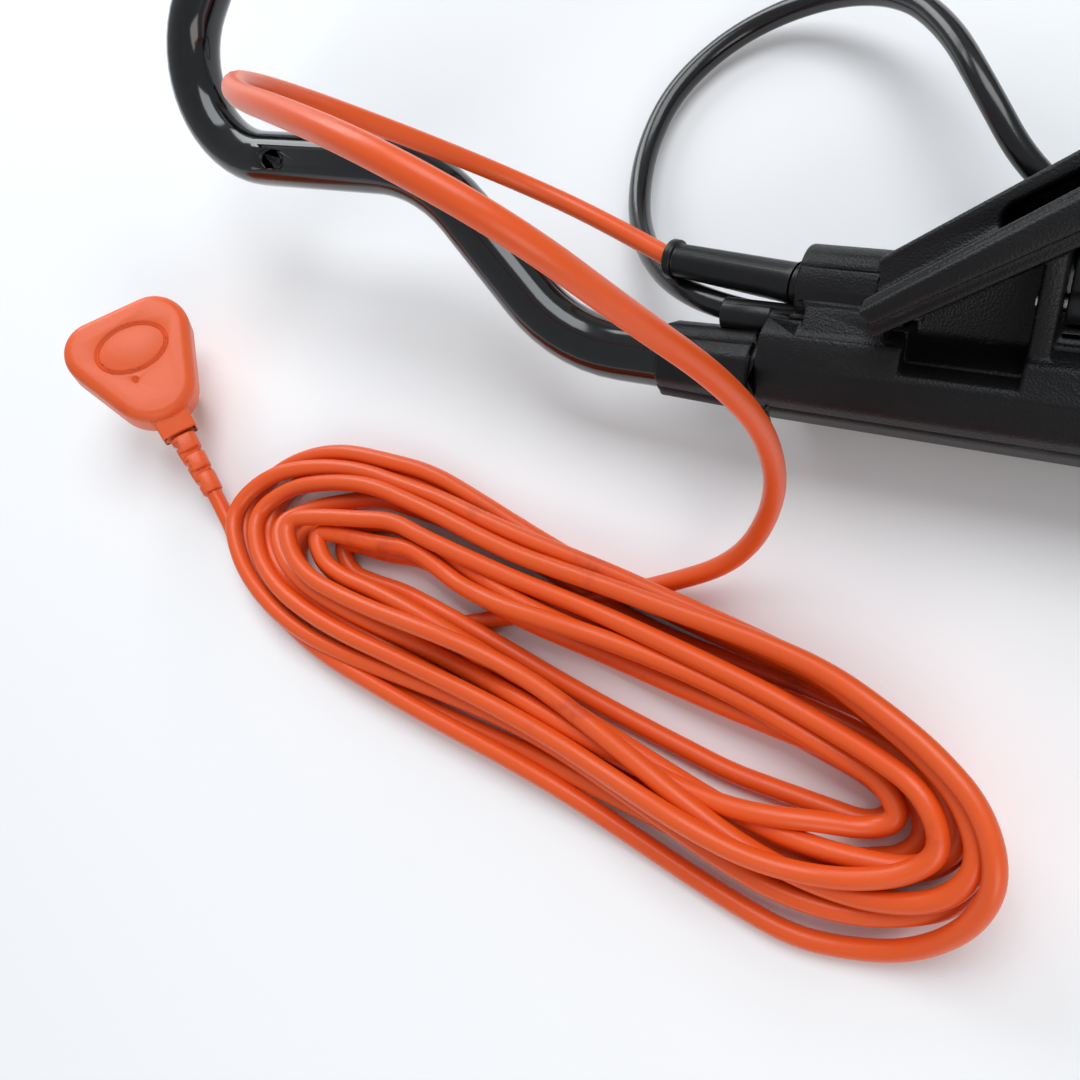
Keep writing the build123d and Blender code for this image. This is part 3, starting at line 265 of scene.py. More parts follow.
def moulded_grain():
    """Fine pebbled relief of moulded plastic, rubber or paint."""
    tree, given, result = new_group("Moulded grain", ["Coordinates", "Scale"], "Height")
    fine = add_node(
        tree, "ShaderNodeTexNoise",
        {"Vector": given["Coordinates"], "Scale": given["Scale"], "Detail": 2.0},
    )
    pebble = add_node(
        tree, "ShaderNodeTexVoronoi",
        {"Vector": given["Coordinates"], "Scale": given["Scale"], "Smoothness": 0.6},
        feature="SMOOTH_F1",
    )
    both = add_node(
        tree, "ShaderNodeMath",
        {0: fine.outputs["Fac"], 1: pebble.outputs["Distance"]}, operation="ADD",
    )
    tree.links.new(both.outputs[0], result["Height"])
    return tree


def soft_patches():
    """Slow uneven patches, from none at amount 0 to half the surface at 1."""
    tree, given, result = new_group(
        "Soft patches", ["Coordinates", "Scale", "Amount"], "Mask"
    )
    noise = add_node(
        tree, "ShaderNodeTexNoise",
        {"Vector": given["Coordinates"], "Scale": given["Scale"], "Detail": 6.0,
         "Roughness": 0.62},
    )
    low = add_node(
        tree, "ShaderNodeMapRange",
        {"Value": given["Amount"], "To Min": 0.74, "To Max": 0.46},
    )
    high = add_node(tree, "ShaderNodeMath", {0: low.outputs[0], 1: 0.16}, operation="ADD")
    mask = add_node(
        tree, "ShaderNodeMapRange",
        {"Value": noise.outputs["Fac"], "From Min": low.outputs[0],
         "From Max": high.outputs[0]},
        interpolation_type="SMOOTHSTEP",
    )
    tree.links.new(mask.outputs[0], result["Mask"])
    return tree


def fine_scuffs():
    """Thin rubbed streaks that run a few millimetres each."""
    tree, given, result = new_group(
        "Fine scuffs", ["Coordinates", "Scale", "Amount"], "Mask"
    )
    stretched = add_node(
        tree, "ShaderNodeMapping",
        {"Vector": given["Coordinates"], "Scale": (1.0, 5.0, 3.0),
         "Rotation": (0.3, 0.5, 0.7)},
    )
    streaks = add_node(
        tree, "ShaderNodeTexNoise",
        {"Vector": stretched.outputs[0], "Scale": given["Scale"], "Detail": 8.0,
         "Roughness": 0.7, "Distortion": 1.2},
    )
    low = add_node(
        tree, "ShaderNodeMapRange",
        {"Value": given["Amount"], "To Min": 0.80, "To Max": 0.52},
    )
    high = add_node(tree, "ShaderNodeMath", {0: low.outputs[0], 1: 0.06}, operation="ADD")
    mask = add_node(
        tree, "ShaderNodeMapRange",
        {"Value": streaks.outputs["Fac"], "From Min": low.outputs[0],
         "From Max": high.outputs[0]},
    )
    tree.links.new(mask.outputs[0], result["Mask"])
    return tree


def settled_dust():
    """Dust that lies on what faces up, in thin uneven cover."""
    tree, given, result = new_group(
        "Settled dust", ["Coordinates", "Facing", "Amount"], "Mask"
    )
    up = add_node(tree, "ShaderNodeSeparateXYZ", {"Vector": given["Facing"]})
    lying = add_node(
        tree, "ShaderNodeMapRange", {"Value": up.outputs["Z"], "From Min": 0.1}
    )
    specks = add_node(
        tree, "ShaderNodeTexNoise",
        {"Vector": given["Coordinates"], "Scale": 240.0, "Detail": 9.0, "Roughness": 0.75},
    )
    cover = add_node(
        tree, "ShaderNodeMapRange",
        {"Value": specks.outputs["Fac"], "From Min": 0.42, "From Max": 0.78},
    )
    both = add_node(
        tree, "ShaderNodeMath", {0: lying.outputs[0], 1: cover.outputs[0]},
        operation="MULTIPLY",
    )
    scaled = add_node(
        tree, "ShaderNodeMath", {0: both.outputs[0], 1: given["Amount"]},
        operation="MULTIPLY",
    )
    tree.links.new(scaled.outputs[0], result["Mask"])
    return tree


GROUPS = {}
COLOUR_INPUTS, COLOUR_OUTPUT = (6, 7), 2
NUMBER_INPUTS, NUMBER_OUTPUT = (2, 3), 0
COAT_ROUGHNESS = 0.12
DUST_COLOUR = (0.34, 0.32, 0.29)
DUST_ROUGHNESS = 0.9
PLAIN_SCUFF = (60.0, 0.3, None)
EDGE_SCUFF_SCALE = 1.4
EDGE_SCUFF_MORE = 0.45


def shared(name):
    """The shared node group of that name, made the first time it is asked for."""
    makers = {
        "grain": moulded_grain, "patches": soft_patches, "scuffs": fine_scuffs,
        "dust": settled_dust,
    }
    if name not in GROUPS:
        GROUPS[name] = makers[name]()
    return GROUPS[name]


def place_group(tree, name, values):
    """One use of a shared node group."""
    return add_node(tree, "ShaderNodeGroup", values, node_tree=shared(name)).outputs[0]


def mixed(tree, mask, below, above):
    """A colour mix of two colours or sockets by a mask."""
    mix = add_node(tree, "ShaderNodeMix", data_type="RGBA")
    tree.links.new(mask, mix.inputs["Factor"])
    for place, value in zip(COLOUR_INPUTS, (below, above)):
        is_socket = isinstance(value, bpy.types.NodeSocket)
        feed(tree, mix.inputs[place], value if is_socket else (*value[:3], 1.0))
    return mix.outputs[COLOUR_OUTPUT]


def blended(tree, mask, below, above):
    """A number that goes from one value to another by a mask."""
    step = add_node(tree, "ShaderNodeMix", data_type="FLOAT")
    tree.links.new(mask, step.inputs["Factor"])
    for place, value in zip(NUMBER_INPUTS, (below, above)):
        feed(tree, step.inputs[place], value)
    return step.outputs[NUMBER_OUTPUT]


def make_finish(
    name, base, rough, metallic=0.0, coat=0.0, grain=(900.0, 0.0001, 0.3),
    patch=(18.0, 0.5, None), scuff=PLAIN_SCUFF, dust=0.15, gloss=0.5,
):
    """A finish from the shared groups: grain is scale, depth, strength; patch and scuff are
    scale, amount and the colour they turn the surface to."""
    material = bpy.data.materials.new(name)
    material.use_nodes = True
    tree = material.node_tree
    shader = tree.nodes["Principled BSDF"]
    shader.inputs["Metallic"].default_value = metallic
    shader.inputs["Coat Weight"].default_value = coat
    shader.inputs["Coat Roughness"].default_value = COAT_ROUGHNESS
    shader.inputs["Specular IOR Level"].default_value = gloss
    where = add_node(tree, "ShaderNodeTexCoord").outputs["Object"]
    facing = add_node(tree, "ShaderNodeNewGeometry").outputs["Normal"]
    patch_colour = patch[2] or tuple(min(1.0, c * 1.7 + 0.004) for c in base[:3])
    scuff_colour = scuff[2] or tuple(min(1.0, c * 2.2 + 0.05) for c in base[:3])
    patches = place_group(
        tree, "patches", {"Coordinates": where, "Scale": patch[0], "Amount": patch[1]}
    )
    scuffs = place_group(
        tree, "scuffs", {"Coordinates": where, "Scale": scuff[0], "Amount": scuff[1]}
    )
    dusty = place_group(
        tree, "dust", {"Coordinates": where, "Facing": facing, "Amount": dust}
    )
    hue = mixed(tree, patches, base, patch_colour)
    hue = mixed(tree, scuffs, hue, scuff_colour)
    hue = mixed(tree, dusty, hue, DUST_COLOUR)
    tree.links.new(hue, shader.inputs["Base Color"])
    rub = blended(tree, patches, rough, min(1.0, rough * 1.25 + 0.03))
    rub = blended(tree, scuffs, rub, min(1.0, rough + 0.22))
    rub = blended(tree, dusty, rub, DUST_ROUGHNESS)
    tree.links.new(rub, shader.inputs["Roughness"])
    relief = place_group(tree, "grain", {"Coordinates": where, "Scale": grain[0]})
    bump = add_node(
        tree, "ShaderNodeBump",
        {"Height": relief, "Distance": grain[1], "Strength": grain[2]},
    )
    tree.links.new(bump.outputs["Normal"], shader.inputs["Normal"])
    return material


def finishes():
    """What each material slot's finish is made from."""
    look = bpy.context.scene.mower_finish
    cords = bpy.context.scene.mower_cords
    box = tuple(look.box)[:3]
    paint = tuple(look.paint)[:3]
    deck = tuple(look.deck)[:3]
    lead = tuple(cords.lead)[:3]
    cable = tuple(cords.cable)[:3]
    steel = (0.56, 0.56, 0.58)
    return {
        "box_plastic": dict(
            base=box, rough=0.42, grain=(1500.0, 0.00022, 0.5),
            patch=(26.0, 0.45, (0.0085, 0.0075, 0.0068)),
            scuff=(52.0, 0.24, (0.030, 0.027, 0.024)), dust=0.012, gloss=0.32),
        "black_steel": dict(
            base=paint, rough=0.12, coat=0.35, grain=(420.0, 0.00004, 0.10),
            patch=(30.0, 0.3, (0.006, 0.006, 0.006)),
            scuff=(46.0, 0.10, (0.04, 0.038, 0.036)), dust=0.015),
        "black_rubber": dict(
            base=(0.004, 0.004, 0.0045), rough=0.34, grain=(1100.0, 0.0001, 0.35),
            patch=(30.0, 0.4, (0.007, 0.007, 0.007)),
            scuff=(70.0, 0.18, (0.030, 0.028, 0.026)), dust=0.015, gloss=0.4),
        "black_cable": dict(
            base=cable, rough=0.22, coat=0.2, grain=(700.0, 0.00006, 0.25),
            patch=(40.0, 0.4, (0.008, 0.008, 0.008)),
            scuff=(80.0, 0.14, (0.035, 0.034, 0.032)), dust=0.02),
        "orange_lead": dict(
            base=lead, rough=0.36, grain=(620.0, 0.00008, 0.28),
            patch=(34.0, 0.45, (0.60, 0.058, 0.008)),
            scuff=(66.0, 0.34, (0.14, 0.026, 0.010)), dust=0.0),
        "orange_plug": dict(
            base=(0.81, 0.112, 0.018), rough=0.42, grain=(900.0, 0.0001, 0.3),
            patch=(40.0, 0.45, (0.68, 0.080, 0.012)),
            scuff=(90.0, 0.34, (0.20, 0.036, 0.014)), dust=0.0),
        "brass_pins": dict(
            base=(0.72, 0.53, 0.26), rough=0.28, metallic=1.0,
            grain=(900.0, 0.00004, 0.2), scuff=(120.0, 0.35, (0.42, 0.30, 0.14)), dust=0.0),
        "trigger_plastic": dict(
            base=(0.012, 0.012, 0.013), rough=0.36, grain=(1300.0, 0.00012, 0.35),
            scuff=(70.0, 0.2, (0.05, 0.048, 0.045)), dust=0.03),
        "switch_plastic": dict(
            base=(0.014, 0.014, 0.015), rough=0.5, grain=(1300.0, 0.0001, 0.3)),
        "knob_plastic": dict(
            base=(0.010, 0.010, 0.011), rough=0.40, grain=(1300.0, 0.00014, 0.4),
            scuff=(70.0, 0.24, (0.05, 0.048, 0.045)), dust=0.06),
        "flap_plastic": dict(
            base=(0.011, 0.011, 0.012), rough=0.46, grain=(1200.0, 0.00015, 0.45),
            scuff=(40.0, 0.26, (0.06, 0.056, 0.05)), dust=0.10),
        "deck_plastic": dict(
            base=deck, rough=0.34, coat=0.12, grain=(900.0, 0.00012, 0.3),
            patch=(9.0, 0.5, (0.54, 0.07, 0.026)),
            scuff=(26.0, 0.24, (0.66, 0.16, 0.07)), dust=0.08),
        "cover_plastic": dict(
            base=(0.011, 0.011, 0.012), rough=0.38, grain=(1200.0, 0.00015, 0.45),
            scuff=(40.0, 0.22, (0.06, 0.056, 0.052)), dust=0.10),
        "wheel_plastic": dict(
            base=(0.016, 0.016, 0.017), rough=0.40, grain=(1000.0, 0.00012, 0.35),
            scuff=(45.0, 0.26, (0.08, 0.076, 0.07)), dust=0.12),
        "tyre": dict(
            base=(0.014, 0.0135, 0.013), rough=0.70, grain=(700.0, 0.0002, 0.5),
            patch=(20.0, 0.5, (0.036, 0.031, 0.025)),
            scuff=(40.0, 0.3, (0.06, 0.055, 0.048)), dust=0.16),
        "zinc_steel": dict(
            base=steel, rough=0.36, metallic=1.0, grain=(700.0, 0.00005, 0.22),
            patch=(60.0, 0.5, (0.40, 0.40, 0.42)), scuff=(80.0, 0.3, (0.35, 0.33, 0.30))),
        "bright_steel": dict(
            base=(0.66, 0.66, 0.67), rough=0.24, metallic=1.0,
            grain=(900.0, 0.00003, 0.15), scuff=(110.0, 0.3, (0.42, 0.41, 0.40)), dust=0.04),
        "spring_steel": dict(
            base=(0.36, 0.36, 0.38), rough=0.30, metallic=1.0,
            grain=(900.0, 0.00004, 0.2), scuff=(100.0, 0.3, (0.22, 0.19, 0.16)), dust=0.08),
        "blade_steel": dict(
            base=(0.34, 0.34, 0.35), rough=0.40, metallic=1.0,
            grain=(500.0, 0.00008, 0.3), patch=(24.0, 0.6, (0.20, 0.16, 0.12)),
            scuff=(34.0, 0.42, (0.58, 0.58, 0.58)), dust=0.12),
        "lamination_steel": dict(
            base=(0.26, 0.26, 0.28), rough=0.45, metallic=0.9,
            grain=(1600.0, 0.0002, 0.5), patch=(30.0, 0.5, (0.22, 0.15, 0.10))),
        "cast_metal": dict(
            base=(0.42, 0.43, 0.45), rough=0.52, metallic=0.85,
            grain=(800.0, 0.00022, 0.55), scuff=(50.0, 0.3, (0.6, 0.6, 0.6))),
        "capacitor_plastic": dict(
            base=(0.52, 0.52, 0.50), rough=0.45, grain=(1200.0, 0.0001, 0.3)),
    }


def finish_of(slot):
    """The finish of a material slot, made once."""
    name = slot + "_finish"
    if name not in bpy.data.materials:
        make_finish(name, **finishes()[slot])
    return bpy.data.materials[name]


def worn_edge_of(slot):
    """The same finish as it is on a rubbed edge: lighter, and more of it scuffed."""
    name = slot + "_edge"
    if name not in bpy.data.materials:
        values = dict(finishes()[slot])
        scuff = values.get("scuff", PLAIN_SCUFF)
        base = values["base"]
        rubbed = scuff[2] or tuple(min(1.0, c * 1.9 + 0.05) for c in base)
        values["scuff"] = (
            scuff[0] * EDGE_SCUFF_SCALE, min(1.0, scuff[1] + EDGE_SCUFF_MORE), rubbed,
        )
        make_finish(name, **values)
    return bpy.data.materials[name]


# ======================================================================
# Mesh helpers
# ======================================================================
def select_only(piece):
    """Make one object the only selected one and the active one."""
    bpy.ops.object.select_all(action="DESELECT")
    piece.select_set(True)
    bpy.context.view_layer.objects.active = piece


def body_of_node(name):
    """Body that a CAD node rides on."""
    return frame["nodes"][name]["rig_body"]


def apply_modifier(piece, name, kind, **settings):
    """Add one modifier with its settings and apply it."""
    made = piece.modifiers.new(name, kind)
    for key, value in settings.items():
        setattr(made, key, value)
    select_only(piece)
    bpy.ops.object.modifier_apply(modifier=made.name)


MERGE_DISTANCE = 0.00001
FLAT_ANGLE = math.radians(0.4)
BEVEL_CORNER = math.radians(30)
EDGE_SEGMENTS = 2
SMOOTH_ANGLE = 38
TUBE_SMOOTH_ANGLE = 50


def copied(node):
    """A merged copy of a CAD node's mesh, with flat facets joined."""
    mesh = frame["nodes"][node].data.copy()
    mesh.materials.clear()
    piece = bpy.data.objects.new(node + "_skin", mesh)
    bpy.context.scene.collection.objects.link(piece)
    select_only(piece)
    bpy.ops.object.mode_set(mode="EDIT")
    bpy.ops.mesh.select_all(action="SELECT")
    bpy.ops.mesh.remove_doubles(threshold=MERGE_DISTANCE)
    bpy.ops.mesh.dissolve_limited(angle_limit=FLAT_ANGLE)
    bpy.ops.object.mode_set(mode="OBJECT")
    return piece


def smoothed(piece, angle=SMOOTH_ANGLE):
    """Shade smooth except over sharp corners."""
    select_only(piece)
    bpy.ops.object.shade_smooth_by_angle(angle=math.radians(angle))


def edged(node, slot, width):
    """A skin over a CAD node with every sharp edge rounded and rubbed."""
    piece = copied(node)
    piece.data.materials.append(finish_of(slot))
    piece.data.materials.append(worn_edge_of(slot))
    apply_modifier(
        piece, "Edges", "BEVEL", width=width, segments=EDGE_SEGMENTS,
        limit_method="ANGLE", angle_limit=BEVEL_CORNER, use_clamp_overlap=False,
        loop_slide=True, material=1,
    )
    smoothed(piece)
    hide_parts(node)
    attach(piece, body_of_node(node))


def repainted(node, slot):
    """Give a CAD node its finish without changing its shape."""
    piece = frame["nodes"][node]
    piece.data.materials.clear()
    piece.data.materials.append(finish_of(slot))


# ======================================================================
# Cords
# ======================================================================
CORD_RESOLUTION = 8
LINE_RESOLUTION = 12
CORD_BEVEL = 6
TUBE_SIDES = 20


def smooth_spline(name, route, resolution):
    """A curve object with one smooth spline on its route's points."""
    curve = bpy.data.curves.new(name, "CURVE")
    curve.dimensions = "3D"
    curve.resolution_u = resolution
    spline = curve.splines.new("NURBS")
    spline.points.add(len(route) - 1)
    for point, place in zip(spline.points, route):
        point.co = (*place, 1.0)
    spline.order_u = 3
    spline.use_endpoint_u = True
    piece = bpy.data.objects.new(name, curve)
    bpy.context.scene.collection.objects.link(piece)
    return piece


def cord_curve(name, route, diameter, slot, body, nodes):
    """A round cord on its route's smooth spline."""
    piece = smooth_spline(name, route, CORD_RESOLUTION)
    piece.data.bevel_depth = diameter / 2
    piece.data.bevel_resolution = CORD_BEVEL
    piece.data.use_fill_caps = True
    piece.data.materials.append(finish_of(slot))
    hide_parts(*nodes)
    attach(piece, body)
    return piece


def centre_line(name, route):
    """Points read from the smooth spline of a route."""
    line = smooth_spline(name, route, LINE_RESOLUTION)
    mesh = bpy.data.meshes.new_from_object(line)
    places = [vertex.co.copy() for vertex in mesh.vertices]
    bpy.data.objects.remove(line)
    bpy.data.meshes.remove(mesh)
    return places


def run_length(places):
    """Length along a list of points."""
    return sum((after - before).length for before, after in zip(places, places[1:]))


def cord_mesh(name, route, diameter):
    """A round cord as a mesh tube, for a stretch that runs across a joint."""
    places = centre_line(name + "_line", route)
    corners, faces = [], []
    side = Vector((1, 0, 0))
    for index, place in enumerate(places):
        before = places[max(index - 1, 0)]
        after = places[min(index + 1, len(places) - 1)]
        along = (after - before).normalized()
        side = (side - along * side.dot(along)).normalized()
        other = along.cross(side)
        for step in range(TUBE_SIDES):
            angle = 2 * math.pi * step / TUBE_SIDES
            corners.append(
                place + (side * math.cos(angle) + other * math.sin(angle)) * diameter / 2
            )
    for ring in range(len(places) - 1):
        for step in range(TUBE_SIDES):
            a = ring * TUBE_SIDES + step
            b = ring * TUBE_SIDES + (step + 1) % TUBE_SIDES
            faces.append((a, b, b + TUBE_SIDES, a + TUBE_SIDES))
    faces.append(tuple(reversed(range(TUBE_SIDES))))
    faces.append(tuple(range(len(corners) - TUBE_SIDES, len(corners))))
    mesh = bpy.data.meshes.new(name)
    mesh.from_pydata(corners, [], faces)
    mesh.update()
    piece = bpy.data.objects.new(name, mesh)
    bpy.context.scene.collection.objects.link(piece)
    smoothed(piece, TUBE_SMOOTH_ANGLE)
    return piece, places


def ring_place(outline, fraction):
    """Place on a closed outline at a fraction of its length."""
    corners = [Vector(corner) for corner in outline]
    corners.append(corners[0])
    wanted = (fraction % 1.0) * run_length(corners)
    for start, end in zip(corners, corners[1:]):
        step = (end - start).length
        if wanted <= step:
            return start.lerp(end, wanted / step)
        wanted -= step
    return corners[-1]


def hank_plan(turns, turn_points):
    """Plan places of the loose turns, from where the lead runs in to where the tail leaves."""
    draw = random.Random(HANK_SEED)
    order = HANK_ORDER[:turns]
    ranks = sorted(order)
    lanes = [
        INNER_LANE + (1 - INNER_LANE) * (ranks.index(rank) + LANE_SHIFT) / turns
        for rank in order
    ] + [1.0]
    waves = [
        [
            (draw.uniform(*WAVE_SIZES), rate, draw.uniform(0, 2 * math.pi))
            for rate in WAVE_RATES
        ]
        for _ in range(turns + 1)
    ]
    plan = []
    first, last = HANK_START, turns + HANK_END
    count = int((last - first) * turn_points)
    for index in range(count + 1):
        whole = first + (last - first) * index / count
        turn = min(max(int(math.floor(whole)), 0), turns - 1)
        part = min(max(whole - turn, 0.0), 1.0)
        ease = part * part * (3 - 2 * part)
        lane = lanes[turn] * (1 - ease) + lanes[turn + 1] * ease
        for k, weight in ((turn, 1 - ease), (turn + 1, ease)):
            lane += weight * sum(
                size * math.sin(rate * 2 * math.pi * whole + phase)
                for size, rate, phase in waves[k]
            )
        lane = min(max(lane, INNER_LANE), 1.0)
        inner = ring_place(HANK_INSIDE, whole)
        outer = ring_place(HANK_OUTSIDE, whole)
        plan.append(inner.lerp(outer, lane))
    return plan


def piled(plan, diameter):
    """Height of each plan place, each stretch lying on what is already under it."""
    dense = []
    for index in range(len(plan) - 1):
        for k in range(PILE_STEP):
            dense.append(plan[index].lerp(plan[index + 1], k / PILE_STEP))
    dense.append(plan[-1])
    floor = diameter / 2 + FLOOR_GAP
    heights = []
    spacing = max(1.0, (dense[1] - dense[0]).length)
    skip = int(4 * diameter / spacing) + 1
    for index, place in enumerate(dense):
        height = floor
        for k in range(max(0, index - skip)):
            gap = math.hypot(place.x - dense[k].x, place.y - dense[k].y)
            if gap < diameter:
                rise = math.sqrt(diameter**2 - gap**2) * PILE_NESTING
                height = max(height, heights[k] + rise)
        heights.append(height)
    raised = [
        max(heights[max(0, k - PILE_REACH): k + PILE_REACH + 1])
        for k in range(len(heights))
    ]
    for _ in range(PILE_PASSES):
        raised = [
            (raised[max(0, k - 1)] + 2 * raised[k] + raised[min(len(raised) - 1, k + 1)]) / 4
            for k in range(len(raised))
        ]
    return [raised[min(len(raised) - 1, k * PILE_STEP)] for k in range(len(plan))]


def hank_route(turns, turn_points):
    """Control points of the loose hank, in metres."""
    plan = HANK_RUN_IN + hank_plan(turns, turn_points)
    heights = piled(plan, LEAD_D / MM)
    last = len(plan) - 1
    low = LEAD_D / MM / 2 + TAIL_GAP
    for index in range(TAIL_SETTLE):
        weight = 1 - index / TAIL_SETTLE
        heights[last - index] = heights[last - index] * (1 - weight) + low * weight
    return [behind(place.x, place.y, z) for place, z in zip(plan, heights)]


# ======================================================================
# Operators
# ======================================================================
SENSOR_WIDTH = 36.0
CAMERA_PLACE = (-8, -121.5, 346)
CAMERA_VIEW = (-0.457, 0.147, -0.877)
CAMERA_RIGHT = (0.865, 0.304, -0.399)
FLOOR_SIZE = 12
FLOOR_ROUGHNESS = 0.85
SKY = (0.90, 0.94, 1.0, 1.0)
SKY_STRENGTH = 0.42
LIGHT_AIM = Vector((-0.05, -0.55, 0.05))
LIGHTS = (
    ("overhead", (0.1, 0.35, 1.9), (1.6, 1.2), 1.0, (0.93, 0.97, 1.0)),
    ("far_side", (-1.3, 0.5, 0.9), (0.9, 0.9), 0.45, (0.95, 0.98, 1.0)),
    ("near_fill", (0.9, -1.7, 0.9), (1.0, 0.8), 0.28, (1.0, 0.93, 0.86)),
)


class MOWER_OT_stage(bpy.types.Operator):
    """Make the camera, the pale floor and the soft studio lights"""

    bl_idname = "mower.stage"
    bl_label = "Studio"

    def execute(self, context):
        look = context.scene.mower_stage
        camera_data = bpy.data.cameras.new("camera")
        camera_data.lens = look.lens
        camera_data.sensor_width = SENSOR_WIDTH
        camera = bpy.data.objects.new("camera", camera_data)
        context.scene.collection.objects.link(camera)
        view = Vector(CAMERA_VIEW).normalized()
        right = Vector(CAMERA_RIGHT)
        right = (right - view * right.dot(view)).normalized()
        up = right.cross(view)
        turned = Matrix((right, up, -view)).transposed().to_4x4()
        place = behind(*CAMERA_PLACE)
        camera.matrix_world = Matrix.Translation(place) @ turned
        context.scene.camera = camera

        select_only(camera)
        bpy.ops.mesh.primitive_plane_add(size=FLOOR_SIZE, location=(0, 0, 0))
        floor = context.active_object
        floor.name = "studio_floor"
        material = bpy.data.materials.new("studio_floor")
        material.use_nodes = True
        shader = material.node_tree.nodes["Principled BSDF"]
        shader.inputs["Base Color"].default_value = look.floor
        shader.inputs["Roughness"].default_value = FLOOR_ROUGHNESS
        floor.data.materials.append(material)

        context.scene.view_settings.view_transform = "Standard"
        world = bpy.data.worlds.new("studio")
        context.scene.world = world
        world.use_nodes = True
        background = world.node_tree.nodes["Background"]
        background.inputs["Color"].default_value = SKY
        background.inputs["Strength"].default_value = SKY_STRENGTH
        for name, place, size, share, tint in LIGHTS:
            data = bpy.data.lights.new(name, "AREA")
            data.shape = "RECTANGLE"
            data.size, data.size_y = size
            data.energy = look.power * share
            data.color = tint
            light = bpy.data.objects.new(name, data)
            light.location = place
            light.rotation_mode = "QUATERNION"
            towards = LIGHT_AIM - Vector(place)
            light.rotation_quaternion = towards.to_track_quat("-Z", "Y")
            context.scene.collection.objects.link(light)
        return {"FINISHED"}


class MOWER_OT_mains_lead(bpy.types.Operator):
    """Lay the orange mains lead from its sleeve, through the loose hank, to its plug"""

    bl_idname = "mower.mains_lead"
    bl_label = "Mains lead"

    def execute(self, context):
        cords = context.scene.mower_cords
        route = LEAD_ROUTE + hank_route(cords.turns, cords.turn_points) + TAIL_ROUTE
        lead = cord_curve(
            "mains_lead_cord", route, LEAD_D, "orange_lead", "upper_handle",
            ("mains_lead", "lead_hank", "plug_tail"),
        )
        return {"FINISHED"}


class MOWER_OT_motor_cable(bpy.types.Operator):
    """Run the black motor cable from the switch box down both handles to the deck"""

    bl_idname = "mower.motor_cable"
    bl_label = "Motor cable"

    def execute(self, context):
        runs = (
            ("motor_cable_loop_cord", LOOP_ROUTE, "motor_cable_loop", "upper_handle"),
            ("motor_cable_lower_cord", LOWER_RUN, "motor_cable_lower", "lower_handle"),
        )
        for name, route, node, body in runs:
            cable = cord_curve(name, route, CABLE_D, "black_cable", body, (node,))
        bends = (
            ("motor_cable_joint_cord", JOINT_BEND, "motor_cable_joint_bend",
             "upper_handle", "lower_handle"),
            ("motor_cable_deck_cord", DECK_BEND, "motor_cable_deck_bend",
             "lower_handle", "deck"),
        )
        for name, route, node, first, second in bends:
            cable, places = cord_mesh(name, route, CABLE_D)
            cable.data.materials.append(finish_of("black_cable"))
            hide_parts(node)
            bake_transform(cable)
        return {"FINISHED"}


SKINS = {
    "upper_handle": ("black_steel", 0.0007),
    "switch_box_base": ("box_plastic", 0.0012),
    "switch_box_cover": ("box_plastic", 0.0012),
    "mains_sleeve": ("black_rubber", 0.0005),
    "motor_cable_sleeve": ("black_rubber", 0.0005),
    "plug_body": ("orange_plug", 0.0008),
    "plug_fuse_cover": ("orange_plug", 0.0005),
    "lock_off_button": ("trigger_plastic", 0.0005),
    "trigger": ("trigger_plastic", 0.0007),
    "upper_cable_clips": ("knob_plastic", 0.0004),
    "lower_cable_clips": ("knob_plastic", 0.0004),
    "clamp_knob_left": ("knob_plastic", 0.0010),
    "clamp_knob_right": ("knob_plastic", 0.0010),
    "deck": ("deck_plastic", 0.0015),
    "motor_cover": ("cover_plastic", 0.0010),
    "rear_flap": ("flap_plastic", 0.0010),
    "handle_brackets": ("zinc_steel", 0.0005),
    "motor_base": ("cast_metal", 0.0006),
    "motor_cap": ("cast_metal", 0.0006),
    "blade": ("blade_steel", 0.0004),
    "blade_hub": ("cast_metal", 0.0006),
    "cooling_fan": ("cover_plastic", 0.0004),
    "motor_cable_gland": ("black_rubber", 0.0005),
    "rim_front_left": ("wheel_plastic", 0.0008),
    "rim_front_right": ("wheel_plastic", 0.0008),
    "rim_rear_left": ("wheel_plastic", 0.0008),
    "rim_rear_right": ("wheel_plastic", 0.0008),
    "tyre_front_left": ("tyre", 0.0010),
    "tyre_front_right": ("tyre", 0.0010),
    "tyre_rear_left": ("tyre", 0.0010),
    "tyre_rear_right": ("tyre", 0.0010),
    "lower_tube_left": ("black_steel", 0.0006),
    "lower_tube_right": ("black_steel", 0.0006),
}


def skin_all(nodes):
    """Rounded skins over these CAD nodes."""
    for node in nodes:
        slot, width = SKINS[node]
        edged(node, slot, width)


class MOWER_OT_handle(bpy.types.Operator):
    """Finish the painted handle tubes, clips and clamp knobs"""

    bl_idname = "mower.handle"
    bl_label = "Handle"

    def execute(self, context):
        skin_all(
            ("upper_handle", "lower_tube_left", "lower_tube_right", "upper_cable_clips",
             "lower_cable_clips", "clamp_knob_left", "clamp_knob_right")
        )
        return {"FINISHED"}


class MOWER_OT_switch_box(bpy.types.Operator):
    """Finish the switch box, its trigger, button and cord sleeves"""

    bl_idname = "mower.switch_box"
    bl_label = "Switch box"

    def execute(self, context):
        skin_all(
            ("switch_box_base", "switch_box_cover", "mains_sleeve", "motor_cable_sleeve",
             "lock_off_button", "trigger")
        )
        return {"FINISHED"}


class MOWER_OT_plug(bpy.types.Operator):
    """Finish the moulded plug"""

    bl_idname = "mower.plug"
    bl_label = "Plug"

    def execute(self, context):
        skin_all(("plug_body", "plug_fuse_cover"))
        return {"FINISHED"}


